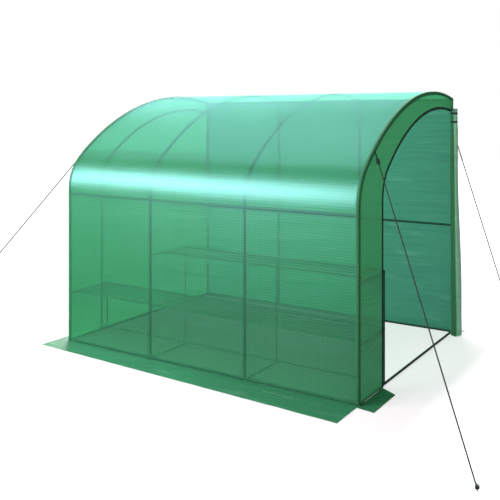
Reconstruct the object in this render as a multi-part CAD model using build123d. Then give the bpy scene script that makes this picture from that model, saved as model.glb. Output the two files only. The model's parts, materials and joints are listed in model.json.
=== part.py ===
from build123d import *
from math import asin, atan2, cos, degrees, hypot, pi, sin, tan
import os

os.makedirs("parts", exist_ok=True)

# Overall size, in millimetres. X runs along the house wall, Y points back to the wall, Z up.
BAYS = 3
BAY_LENGTH = 950.0
DEPTH = 2130.0
BEND_HEIGHT = 1378.0
CREST_HEIGHT = 2253.0
CREST_SETBACK = 1660.0
EAVE_RADIUS = 400.0
BACK_RAIL_HEIGHT = 1018.0

# Steel tube and its push-fit fittings
TUBE_RADIUS = 9.5
FITTING_WALL = 1.0
FITTING_ARM = 35.0

# Woven cover
SHEET = 1.5
SOFT_GAP = 0.3
ROOF_HEM_DROP = 80.0
BACK_STRIP = 25.0

# Doorways in both ends
DOOR_SETBACK = 415.0
DOOR_BEND_HEIGHT = 1400.0
DOOR_CREST_HEIGHT = 2119.0
DOOR_CREST_SETBACK = 1790.0
DOOR_EAVE_RADIUS = 330.0
DOOR_HEM_GAP = 3.0
ZIP_WIDTH = 16.0
ZIP_THICKNESS = 2.5
SLIDER_HEIGHT = 26.0
SLIDER_WIDTH = 13.0
SLIDER_THICKNESS = 5.0
SLIDER_CORNER = 4.0
LEFT_SLIDER_HEIGHT = 60.0
RIGHT_SLIDER_DROP = 30.0

# Rolled door at the open end, tied to the back corner
ROLL_FOOT_X = 60.0
ROLL_FOOT_Y = 42.0
ROLL_TOP_X = 36.0
ROLL_TOP_Y = 34.0
ROLL_WAIST_X = 48.0
ROLL_WAIST_Y = 38.0
ROLL_WAIST_HEIGHT = 1000.0
ROLL_NECK_DROP = 256.0
ROLL_BACK_INSET = 85.0
LOWER_TIE_DROP = 134.0
UPPER_TIE_DROP = 55.0
TIE_WIDTH = 18.0
TIE_THICKNESS = 1.5

# Plant shelving along the front
ROD_RADIUS = 5.0
LEG_RADIUS = 6.0
LEG_SETBACK = 480.0
LOWER_SHELF_HEIGHT = 431.0
UPPER_SHELF_HEIGHT = 865.0
LOWER_FRONT_SETBACK = 46.0
UPPER_FRONT_SETBACK = 126.0
UPPER_SHELF_BAYS = ("middle", "right")
CLIP_WALL = 0.9
CLIP_FIT = 0.1
CLIP_HEIGHT = 16.0
WIRE = 4.0
WIRE_PITCH = 72.0
WIRE_ROWS = 4
WIRE_END_GAP = 12.0
WIRE_OVERHANG = 4.0

# Ground flaps of the cover
FRONT_FLAP_LEFT = 230.0
FRONT_FLAP_RIGHT = 358.0
LEFT_FLAP = 120.0
RIGHT_FLAP = 150.0
RIGHT_FLAP_FRONT = 66.0
RIGHT_FLAP_CORNER = 45.0
FLAP_CUT_BACK = 330.0
BACK_FLAP = 100.0
BACK_FLAP_FLARE = 92.0

# Guy ropes, their webbing loops and ground pegs
ROPE_RADIUS = 2.0
FRONT_LOOP_SETBACK = 271.0
BACK_LOOP_DROP = 292.0
FRONT_PEG_OUT = 1045.0
FRONT_PEG_AHEAD = 752.0
BACK_PEG_OUT = 471.0
BACK_PEG_BEHIND = 471.0
LOOP_LENGTH = 80.0
LOOP_WIDTH = 12.0
LOOP_THICKNESS = 3.0
PEG_RADIUS = 3.5
PEG_HEIGHT = 42.0
PEG_HOOK = 22.0
PEG_BEND = 9.0
PEG_ROPE_HEIGHT = 24.0

# Places that follow from the sizes
fitting_radius = TUBE_RADIUS + FITTING_WALL
ground_rail_z = fitting_radius
half_length = BAYS * BAY_LENGTH / 2
hoop_x = [-half_length + bay * BAY_LENGTH for bay in range(BAYS + 1)]
front_y = (FRONT_PEG_AHEAD - DEPTH - BACK_PEG_BEHIND) / 2
back_y = front_y + DEPTH
eave_rail_z = BEND_HEIGHT - FITTING_ARM
sheet_in = fitting_radius + SOFT_GAP
sheet_out = sheet_in + SHEET
end_in = half_length + sheet_in
end_out = half_length + sheet_out
leg_y = front_y + LEG_SETBACK
door_y = front_y + DOOR_SETBACK
door_back_y = back_y - BACK_STRIP
crest_y = front_y + CREST_SETBACK
door_crest_y = front_y + DOOR_CREST_SETBACK

NAMES = ("left_end", "second", "third", "right_end")
BAY_NAMES = ("left", "middle", "right")

parts = {}


def add(name, *solids):
    """Keep one node: a single solid, or like solids that stand apart."""
    parts[name] = solids[0] if len(solids) == 1 else Compound(children=list(solids))


def rod(start, end, radius):
    """Straight round bar between two points."""
    run = Vector(*end) - Vector(*start)
    plane = Plane(origin=Vector(*start), z_dir=run)
    return extrude(plane * Circle(radius), amount=run.length)


def fitting(centre, arms):
    """Tube fitting: one short socket for each arm, round a ball where no socket runs straight through."""
    tips = [tuple(c + a * FITTING_ARM for c, a in zip(centre, arm)) for arm in arms]
    through = [arm for arm in arms if tuple(-a for a in arm) in arms]
    sockets = [rod(centre, tip, fitting_radius) for tip in tips]
    core = [] if through else [Pos(*centre) * Sphere(fitting_radius)]
    pieces = sockets + core
    return pieces[0] + pieces[1:]


def clip(x, y, height, radius):
    """Push-on clip round a post or leg, which carries the end of a shelf rod."""
    ring = Circle(radius + CLIP_FIT + CLIP_WALL) - Circle(radius + CLIP_FIT)
    return extrude(Pos(x, y, height - CLIP_HEIGHT / 2) * ring, amount=CLIP_HEIGHT)


def slab(outline, low, high, axis):
    """Flat sheet of the given outline between two levels along X or Z."""
    face = Face(Wire(outline))
    return extrude(face, amount=high - low, dir=axis)


def side_arms(index):
    """Arms along X that a hoop has: one at each end hoop, two between."""
    arms = []
    if index > 0:
        arms.append((-1, 0, 0))
    if index < BAYS:
        arms.append((1, 0, 0))
    return arms


class Arch:
    """Upright leg, tight eave arc and long roof arc, tangent, past its crest to a straight end."""

    def __init__(self, leg, bend_z, crest_y, crest_z, eave_radius, end_y, straight):
        span = crest_y - leg
        rise = crest_z - bend_z
        self.leg = leg
        self.bend_z = bend_z
        self.eave_radius = eave_radius
        self.roof_radius = (span**2 + rise**2 - 2 * span * eave_radius) / (2 * (rise - eave_radius))
        self.turn = atan2(self.roof_radius - rise, span - eave_radius)
        self.eave_centre = (leg + eave_radius, bend_z)
        self.roof_centre = (crest_y, crest_z - self.roof_radius)
        past_crest = asin((end_y - crest_y) / hypot(self.roof_radius, straight))
        self.fall = past_crest - atan2(straight, self.roof_radius)
        self.end_turn = pi / 2 + self.fall

    def on_eave(self, angle, offset):
        """Point of the eave arc, angle from the leg, offset outwards."""
        reach = self.eave_radius + offset
        return (self.eave_centre[0] - reach * cos(angle), self.eave_centre[1] + reach * sin(angle))

    def on_roof(self, angle, offset):
        """Point of the roof arc, angle from level towards the sky, offset outwards."""
        reach = self.roof_radius + offset
        return (self.roof_centre[0] - reach * cos(angle), self.roof_centre[1] + reach * sin(angle))

    def on_end(self, y, offset):
        """Point of the straight end at a depth, offset outwards."""
        start = self.on_roof(self.end_turn, offset)
        return (y, start[1] - (y - start[0]) * tan(self.fall))

    def height_at(self, y):
        """Height of the arch above a depth, on whichever arc stands there."""
        on_roof = y > self.on_eave(self.turn, 0)[0]
        centre = self.roof_centre if on_roof else self.eave_centre
        radius = self.roof_radius if on_roof else self.eave_radius
        return centre[1] + (radius**2 - (y - centre[0]) ** 2) ** 0.5

    def edges(self, x, offset, foot_z):
        """Leg, eave arc and roof arc as edges in the plane of a hoop."""
        foot = (x, self.leg - offset, foot_z)
        bend = (x, *self.on_eave(0, offset))
        eave_mid = (x, *self.on_eave(self.turn / 2, offset))
        join = (x, *self.on_eave(self.turn, offset))
        roof_mid = (x, *self.on_roof((self.turn + self.end_turn) / 2, offset))
        end = (x, *self.on_roof(self.end_turn, offset))
        arcs = [ThreePointArc(bend, eave_mid, join), ThreePointArc(join, roof_mid, end)]
        leg = [Line(foot, bend)] if foot_z < self.bend_z else []
        return leg + arcs, foot, end


hoop_arch = Arch(front_y, BEND_HEIGHT, crest_y, CREST_HEIGHT, EAVE_RADIUS, back_y, FITTING_ARM)
door_arch = Arch(door_y, DOOR_BEND_HEIGHT, door_crest_y, DOOR_CREST_HEIGHT, DOOR_EAVE_RADIUS, door_back_y, 0)
ridge_z = hoop_arch.on_end(back_y, 0)[1]


def chain(points):
    """Straight edges through a row of points."""
    return [Line(a, b) for a, b in zip(points, points[1:])]


def bent_bow(x, arch):
    """Roof bow of a hoop: one tube bent tight over the eave, then gently to the ridge."""
    eave_start = Plane(origin=(x, arch.leg, arch.bend_z), z_dir=(0, 0, 1)) * Circle(TUBE_RADIUS)
    eave_axis = Axis((x, *arch.eave_centre), (-1, 0, 0))
    eave = revolve(eave_start, axis=eave_axis, revolution_arc=degrees(arch.turn))
    join = (x, *arch.on_eave(arch.turn, 0))
    roof_start = Plane(origin=join, z_dir=(0, sin(arch.turn), cos(arch.turn))) * Circle(TUBE_RADIUS)
    roof_axis = Axis((x, *arch.roof_centre), (-1, 0, 0))
    roof = revolve(roof_start, axis=roof_axis, revolution_arc=degrees(arch.end_turn - arch.turn))
    return eave + roof


# Hoops: front post below the eave fitting, bent roof bow above it
post_foot_z = ground_rail_z + FITTING_ARM
post_top_z = eave_rail_z - FITTING_ARM
for name, x in zip(NAMES, hoop_x):
    post = rod((x, front_y, post_foot_z), (x, front_y, post_top_z), TUBE_RADIUS)
    add("hoop_" + name, post, bent_bow(x, hoop_arch))

# Back posts: two lengths that meet in the mid rail's fitting
for name, x in zip(NAMES, hoop_x):
    low_top_z = BACK_RAIL_HEIGHT - FITTING_ARM
    high_foot_z = BACK_RAIL_HEIGHT + FITTING_ARM
    low = rod((x, back_y, post_foot_z), (x, back_y, low_top_z), TUBE_RADIUS)
    high = rod((x, back_y, high_foot_z), (x, back_y, ridge_z - FITTING_ARM), TUBE_RADIUS)
    add("back_post_" + name, low, high)


def long_rail(name, y, z):
    """Tubes along the greenhouse, one in each bay, between the fittings."""
    bays = zip(hoop_x, hoop_x[1:])
    add(name, *[rod((a + FITTING_ARM, y, z), (b - FITTING_ARM, y, z), TUBE_RADIUS) for a, b in bays])


long_rail("front_ground_rail", front_y, ground_rail_z)
long_rail("back_ground_rail", back_y, ground_rail_z)
long_rail("eave_rail", front_y, eave_rail_z)
long_rail("back_mid_rail", back_y, BACK_RAIL_HEIGHT)
long_rail("back_top_rail", back_y, ridge_z)

thresholds = []
for x in (hoop_x[0], hoop_x[-1]):
    start = (x, front_y + FITTING_ARM, ground_rail_z)
    end = (x, back_y - FITTING_ARM, ground_rail_z)
    thresholds.append(rod(start, end, TUBE_RADIUS))
add("end_threshold_rails", *thresholds)

# Fittings at the ground, the eave, the back mid rail and the ridge
ground_fittings = []
eave_fittings = []
mid_fittings = []
ridge_fittings = []
bow_arm = (0, -cos(hoop_arch.fall), sin(hoop_arch.fall))
for index, x in enumerate(hoop_x):
    sides = side_arms(index)
    corner = index in (0, BAYS)
    front_arms = sides + [(0, 0, 1)] + ([(0, 1, 0)] if corner else [])
    back_arms = sides + [(0, 0, 1)] + ([(0, -1, 0)] if corner else [])
    ground_fittings.append(fitting((x, front_y, ground_rail_z), front_arms))
    ground_fittings.append(fitting((x, back_y, ground_rail_z), back_arms))
    eave_fittings.append(fitting((x, front_y, eave_rail_z), sides + [(0, 0, 1), (0, 0, -1)]))
    mid_fittings.append(fitting((x, back_y, BACK_RAIL_HEIGHT), sides + [(0, 0, 1), (0, 0, -1)]))
    ridge_fittings.append(fitting((x, back_y, ridge_z), sides + [bow_arm, (0, 0, -1)]))
add("ground_fittings", *ground_fittings)
add("eave_fittings", *eave_fittings)
add("back_mid_fittings", *mid_fittings)
add("ridge_fittings", *ridge_fittings)

# Shelving: legs, rods across at each hoop, long rods on top of them, wire panels on those
threshold_top = ground_rail_z + TUBE_RADIUS
clip_reach = CLIP_FIT + CLIP_WALL + SOFT_GAP
side_start = front_y + TUBE_RADIUS + clip_reach
side_end = leg_y - LEG_RADIUS - clip_reach
back_rod_y = leg_y - LEG_RADIUS - ROD_RADIUS - clip_reach
upper_hoops = hoop_x[BAY_NAMES.index(UPPER_SHELF_BAYS[0]):]
legs = []
for index, x in enumerate(hoop_x):
    foot_z = threshold_top if index in (0, BAYS) else 0.0
    top_z = UPPER_SHELF_HEIGHT if x in upper_hoops else LOWER_SHELF_HEIGHT
    legs.append(rod((x, leg_y, foot_z), (x, leg_y, top_z + ROD_RADIUS), LEG_RADIUS))
add("shelf_legs", *legs)

clips = []
for height, hoops in ((LOWER_SHELF_HEIGHT, hoop_x), (UPPER_SHELF_HEIGHT, upper_hoops)):
    clips += [clip(x, front_y, height, TUBE_RADIUS) for x in hoops]
    clips += [clip(x, leg_y, height - CLIP_HEIGHT / 2 + ROD_RADIUS, LEG_RADIUS) for x in hoops]
add("shelf_clips", *clips)

foot_start = front_y + fitting_radius + SOFT_GAP
foot_sides = [rod((x, foot_start, ROD_RADIUS), (x, side_end, ROD_RADIUS), ROD_RADIUS) for x in hoop_x[1:-1]]
foot_back_z = threshold_top + ROD_RADIUS
foot_back = rod((hoop_x[0], back_rod_y, foot_back_z), (hoop_x[-1], back_rod_y, foot_back_z), ROD_RADIUS)
add("shelf_foot_rods", *foot_sides, foot_back)


def shelf_rods(level, hoops, height, front_setback):
    """Rods across at each hoop, with the front and back rods lying on them."""
    long_z = height + 2 * ROD_RADIUS
    sides = [rod((x, side_start, height), (x, side_end, height), ROD_RADIUS) for x in hoops]
    add(level + "_shelf_side_rods", *sides)
    ends = (hoops[0] - ROD_RADIUS, hoops[-1] + ROD_RADIUS)
    rows = (front_y + front_setback, back_rod_y)
    long_rods = [rod((ends[0], y, long_z), (ends[1], y, long_z), ROD_RADIUS) for y in rows]
    add(level + "_shelf_long_rods", *long_rods)


def wire_panel(left_x, right_x, height, front_setback):
    """Welded wire panel of one bay: cross wires and long wires fused where they cross."""
    base_z = height + 3 * ROD_RADIUS
    start_y = front_y + front_setback - WIRE_OVERHANG
    end_y = back_rod_y + WIRE_OVERHANG
    width = right_x - left_x - 2 * WIRE_END_GAP
    depth = end_y - start_y
    count = int((width - WIRE) // WIRE_PITCH)
    step = (width - WIRE) / count
    row_step = (depth - WIRE) / (WIRE_ROWS - 1)
    corner = Pos((left_x + right_x) / 2, (start_y + end_y) / 2, base_z + WIRE / 2)
    first_x = -(width - WIRE) / 2
    first_y = -(depth - WIRE) / 2
    cross_wires = [Pos(first_x + i * step, 0, 0) * Box(WIRE, depth, WIRE) for i in range(count + 1)]
    long_wires = [Pos(0, first_y + i * row_step, 0) * Box(width, WIRE, WIRE) for i in range(WIRE_ROWS)]
    return corner * (cross_wires[0] + cross_wires[1:] + long_wires)


shelf_rods("lower", hoop_x, LOWER_SHELF_HEIGHT, LOWER_FRONT_SETBACK)
shelf_rods("upper", upper_hoops, UPPER_SHELF_HEIGHT, UPPER_FRONT_SETBACK)
for bay, a, b in zip(BAY_NAMES, hoop_x, hoop_x[1:]):
    add("lower_wire_shelf_" + bay, wire_panel(a, b, LOWER_SHELF_HEIGHT, LOWER_FRONT_SETBACK))
    if bay in UPPER_SHELF_BAYS:
        add("upper_wire_shelf_" + bay, wire_panel(a, b, UPPER_SHELF_HEIGHT, UPPER_FRONT_SETBACK))

# Cover over the front wall and roof, turned down over the back wall as a hem
hem_y = back_y + sheet_out + SOFT_GAP
hem_foot_z = ridge_z + sheet_in - ROOF_HEM_DROP
inner_edges, inner_foot, inner_end = hoop_arch.edges(-end_out, sheet_in, 0)
outer_edges, outer_foot, outer_end = hoop_arch.edges(-end_out, sheet_out, 0)
hem_corners = chain([
    inner_end,
    (-end_out, *hoop_arch.on_end(hem_y, sheet_in)),
    (-end_out, hem_y, hem_foot_z),
    (-end_out, hem_y + SHEET, hem_foot_z),
    (-end_out, *hoop_arch.on_end(hem_y + SHEET, sheet_out)),
    outer_end,
])
cover_outline = inner_edges + hem_corners + outer_edges + [Line(inner_foot, outer_foot)]
add("cover_front_and_roof", slab(cover_outline, -end_out, end_out, (1, 0, 0)))

back_wall_top_z = hoop_arch.on_end(back_y + sheet_out, sheet_in)[1]
back_wall_size = (2 * end_out, SHEET, back_wall_top_z)
back_wall_centre = Pos(0, back_y + sheet_in + SHEET / 2, back_wall_size[2] / 2)
add("cover_back_wall", back_wall_centre * Box(*back_wall_size))


def end_panel(low_x):
    """End wall: cloth from the cover's edge to the doorway, with a strip at the back post."""
    rim, foot, rim_end = hoop_arch.edges(low_x, sheet_in - SOFT_GAP, 0)
    wall_y = back_y + sheet_in
    rim_corner = hoop_arch.on_end(wall_y, sheet_in - SOFT_GAP)
    jamb, jamb_foot, jamb_end = door_arch.edges(low_x, 0, 0)
    back_corners = [(low_x, *rim_corner), (low_x, wall_y, 0), (low_x, door_back_y, 0)]
    corners = chain([rim_end, *back_corners, jamb_end])
    outline = rim + corners + jamb + [Line(jamb_foot, foot)]
    return slab(outline, low_x, low_x + SHEET, (1, 0, 0))


add("end_panel_left", end_panel(-end_out))
add("end_panel_right", end_panel(end_in))

# Closed door of the left end, cut a gap smaller than its doorway
door_edges, door_foot, _ = door_arch.edges(-end_out, -SOFT_GAP, DOOR_HEM_GAP)
stop_angle = door_arch.end_turn - SOFT_GAP / door_arch.roof_radius
roof_join = (-end_out, *door_arch.on_roof(door_arch.turn, -SOFT_GAP))
roof_middle = (-end_out, *door_arch.on_roof((door_arch.turn + stop_angle) / 2, -SOFT_GAP))
roof_stop = (-end_out, *door_arch.on_roof(stop_angle, -SOFT_GAP))
stop_foot = (-end_out, roof_stop[1], DOOR_HEM_GAP)
door_outline = door_edges[:-1] + [ThreePointArc(roof_join, roof_middle, roof_stop)]
door_outline += chain([roof_stop, stop_foot, door_foot])
add("door_left", slab(door_outline, -end_out, -end_in, (1, 0, 0)))


def zip_strip(low_x, inner, outer):
    """Zip and binding sewn along the doorway's edge, between two offsets from it."""
    near, near_foot, near_end = door_arch.edges(low_x, inner, SHEET)
    far, far_foot, far_end = door_arch.edges(low_x, outer, SHEET)
    outline = near + far + [Line(near_end, far_end), Line(near_foot, far_foot)]
    return slab(outline, low_x, low_x + ZIP_THICKNESS, (1, 0, 0))


add("door_zip_left", zip_strip(-end_out - ZIP_THICKNESS, -ZIP_WIDTH / 2, ZIP_WIDTH / 2))
add("door_zip_right", zip_strip(end_out, 0, ZIP_WIDTH))


def zip_slider(low_x, y, z):
    """Zip slider with its pull, lying flat on the zip."""
    plate = Pos(low_x, y, z) * (Plane.YZ * RectangleRounded(SLIDER_WIDTH, SLIDER_HEIGHT, SLIDER_CORNER))
    return extrude(plate, amount=SLIDER_THICKNESS, dir=(1, 0, 0))


left_slider_x = -end_out - ZIP_THICKNESS - SOFT_GAP - SLIDER_THICKNESS
right_slider_x = end_out + ZIP_THICKNESS + SOFT_GAP
right_slider_z = DOOR_BEND_HEIGHT - RIGHT_SLIDER_DROP
add(
    "zip_sliders",
    zip_slider(left_slider_x, door_y, LEFT_SLIDER_HEIGHT),
    zip_slider(right_slider_x, door_y - ZIP_WIDTH / 2, right_slider_z),
)

# Door of the right end, gathered against the back corner and tied
roll_gap = ZIP_THICKNESS + SOFT_GAP
roll_side_x = end_out + roll_gap
roll_y = back_y - ROLL_BACK_INSET


def roll_section(height, radius_x, radius_y):
    """Oval section of the gathered door, flush with its straight inner side."""
    return Pos(roll_side_x + radius_x, roll_y, height) * Ellipse(radius_x, radius_y)


roll_neck_z = DOOR_CREST_HEIGHT - ROLL_NECK_DROP
roll_body = loft([
    roll_section(0, ROLL_FOOT_X, ROLL_FOOT_Y),
    roll_section(ROLL_WAIST_HEIGHT, ROLL_WAIST_X, ROLL_WAIST_Y),
    roll_section(roll_neck_z, ROLL_TOP_X, ROLL_TOP_Y),
], ruled=True)
neck = extrude(roll_section(roll_neck_z, ROLL_TOP_X, ROLL_TOP_Y), amount=ROLL_NECK_DROP)
add("door_right_rolled", roll_body + neck)

ties = []
for drop in (LOWER_TIE_DROP, UPPER_TIE_DROP):
    middle_of_roll = Pos(roll_side_x + ROLL_TOP_X, roll_y, DOOR_CREST_HEIGHT - drop)
    hole = Ellipse(ROLL_TOP_X + SOFT_GAP, ROLL_TOP_Y + SOFT_GAP)
    band = Ellipse(ROLL_TOP_X + SOFT_GAP + TIE_THICKNESS, ROLL_TOP_Y + SOFT_GAP + TIE_THICKNESS)
    ties.append(extrude(middle_of_roll * (band - hole), amount=TIE_WIDTH))
add("door_ties", *ties)


def flap(points):
    """Ground flap: a cloth of the given plan lying on the ground."""
    corners = [(x, y, 0) for x, y in points]
    return slab(chain(corners + corners[:1]), 0, SHEET, (0, 0, 1))


wall_front = front_y - sheet_out
add("ground_flap_front", flap([
    (-half_length - LEFT_FLAP, wall_front),
    (-half_length - LEFT_FLAP, front_y - FRONT_FLAP_LEFT),
    (end_out, front_y - FRONT_FLAP_RIGHT),
    (end_out, wall_front),
]))
add("ground_flap_left_end", flap([
    (-end_out, wall_front),
    (-half_length - LEFT_FLAP, wall_front),
    (-half_length - LEFT_FLAP, front_y + FLAP_CUT_BACK),
    (-end_out, door_y - ZIP_WIDTH),
]))
add("ground_flap_right_end", flap([
    (end_out, door_y),
    (end_out, front_y - RIGHT_FLAP_CORNER),
    (half_length + RIGHT_FLAP, front_y - RIGHT_FLAP_FRONT),
    (half_length + RIGHT_FLAP, front_y + FLAP_CUT_BACK),
]))
wall_back = back_y + sheet_out
add("ground_flap_back", flap([
    (-end_out, wall_back),
    (end_out, wall_back),
    (end_out + BACK_FLAP_FLARE, back_y + BACK_FLAP),
    (-end_out - BACK_FLAP_FLARE, back_y + BACK_FLAP),
]))


def guy_line(side, attach_y, attach_z, peg_x, peg_y):
    """Webbing loop on the end wall, taut rope and ground peg of one corner."""
    attach = Vector(side * end_out, attach_y, attach_z)
    peg_foot = Vector(side * peg_x, peg_y, 0)
    inwards = Vector(attach.X - peg_foot.X, attach.Y - peg_foot.Y, 0).normalized()
    beside_peg = inwards * (PEG_RADIUS + SOFT_GAP + ROPE_RADIUS)
    rope_end = peg_foot + beside_peg + Vector(0, 0, PEG_ROPE_HEIGHT)
    direction = (rope_end - attach).normalized()
    sideways = direction.cross(Vector(0, 0, 1))
    strap_plane = Plane(origin=attach - direction * LOOP_WIDTH, x_dir=sideways, z_dir=direction)
    section = strap_plane * Rectangle(LOOP_THICKNESS, LOOP_WIDTH)
    whole_strap = extrude(section, amount=LOOP_LENGTH + LOOP_WIDTH)
    room = 2 * (LOOP_LENGTH + LOOP_WIDTH)
    outside = Pos(side * (end_out + room / 2), attach_y, attach_z) * Box(room, room, room)
    strap = whole_strap & outside
    rope = rod(tuple(attach + direction * LOOP_LENGTH), tuple(rope_end), ROPE_RADIUS)
    peg_top = peg_foot + Vector(0, 0, PEG_HEIGHT - PEG_RADIUS)
    away = Vector(side, 1 if peg_y > 0 else -1, 0).normalized()
    peg_wire = FilletPolyline(peg_foot, peg_top, peg_top + away * PEG_HOOK, radius=PEG_BEND)
    peg = sweep(Plane(origin=peg_foot, z_dir=(0, 0, 1)) * Circle(PEG_RADIUS), path=peg_wire)
    return strap, rope, peg


front_loop_y = front_y + FRONT_LOOP_SETBACK
front_loop_z = hoop_arch.height_at(front_loop_y)
back_loop_z = ridge_z - BACK_LOOP_DROP
guy_corners = (
    (-1, front_loop_y, front_loop_z, FRONT_PEG_OUT, front_y - FRONT_PEG_AHEAD),
    (1, front_loop_y, front_loop_z, FRONT_PEG_OUT, front_y - FRONT_PEG_AHEAD),
    (-1, back_y, back_loop_z, BACK_PEG_OUT, back_y + BACK_PEG_BEHIND),
    (1, back_y, back_loop_z, BACK_PEG_OUT, back_y + BACK_PEG_BEHIND),
)
loops = []
ropes = []
pegs = []
for side, loop_y, loop_z, peg_out, peg_y in guy_corners:
    loop, rope, peg = guy_line(side, loop_y, loop_z, half_length + peg_out, peg_y)
    loops.append(loop)
    ropes.append(rope)
    pegs.append(peg)
add("guy_loops", *loops)
add("guy_ropes", *ropes)
add("ground_pegs", *pegs)

for name, shape in parts.items():
    export_step(shape, "parts/" + name + ".step")
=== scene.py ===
"""Looks of the walk-in lean-to greenhouse: woven cover, zips, ropes, enamelled frame, light and camera."""
import json
import logging
import math
from dataclasses import dataclass
from enum import Enum

import bmesh
import bpy
import numpy as np
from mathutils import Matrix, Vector


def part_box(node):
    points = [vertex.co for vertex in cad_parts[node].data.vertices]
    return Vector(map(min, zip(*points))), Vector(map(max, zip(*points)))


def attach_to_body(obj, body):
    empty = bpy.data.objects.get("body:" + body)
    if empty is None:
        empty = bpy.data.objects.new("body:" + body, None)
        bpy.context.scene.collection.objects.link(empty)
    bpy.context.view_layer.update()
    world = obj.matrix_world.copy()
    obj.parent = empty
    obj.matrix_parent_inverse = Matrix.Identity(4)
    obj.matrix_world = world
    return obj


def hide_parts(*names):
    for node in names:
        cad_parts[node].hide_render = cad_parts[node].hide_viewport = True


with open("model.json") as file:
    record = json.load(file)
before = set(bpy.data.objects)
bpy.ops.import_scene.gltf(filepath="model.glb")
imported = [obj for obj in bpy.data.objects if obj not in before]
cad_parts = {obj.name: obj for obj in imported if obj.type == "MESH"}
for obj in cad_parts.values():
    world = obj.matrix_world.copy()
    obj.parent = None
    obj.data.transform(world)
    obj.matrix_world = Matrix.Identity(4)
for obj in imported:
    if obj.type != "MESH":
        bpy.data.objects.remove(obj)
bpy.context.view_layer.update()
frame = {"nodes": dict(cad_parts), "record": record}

BODY = "root"
UV_NAME = "cloth_metres"
HOOP_NAMES = ("hoop_left_end", "hoop_second", "hoop_third", "hoop_right_end")
Colour = tuple[float, float, float]
Place = tuple[float, float, float]
Grid = np.ndarray
UP = np.array([0.0, 0.0, 1.0])
log = logging.getLogger("greenhouse")


class Side(Enum):
    """The two ends of the greenhouse, as the sign of X."""

    LEFT = -1
    RIGHT = 1


class Hold(Enum):
    """How a sheet of cloth is held."""

    STRETCHED = "stretched"
    HUNG = "hung"
    GATHERED = "gathered"
    LAID = "laid"


def middle(node: str) -> Vector:
    """Centre of a node's box."""
    low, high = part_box(node)
    return (low + high) / 2


@dataclass(frozen=True)
class Skeleton:
    """Places of the steel frame that the cloth follows, read from the frame's nodes."""

    hoops: tuple[float, ...]
    front: float
    back: float
    bend: float
    crest: float
    ridge: float
    end: float
    rail_reach: float = 0.035

    @classmethod
    def from_frame(cls) -> "Skeleton":
        """Read the hoops, posts and rails.

        Returns:
            The skeleton in metres.
        """
        low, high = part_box(HOOP_NAMES[0])
        tube = (high.x - low.x) / 2
        return cls(
            hoops=tuple(middle(name).x for name in HOOP_NAMES),
            front=low.y + tube,
            back=middle("back_post_left_end").y,
            bend=middle("eave_rail").z + cls.rail_reach,
            crest=high.z - tube,
            ridge=middle("back_top_rail").z,
            end=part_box("end_panel_right")[1].x,
        )


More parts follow.
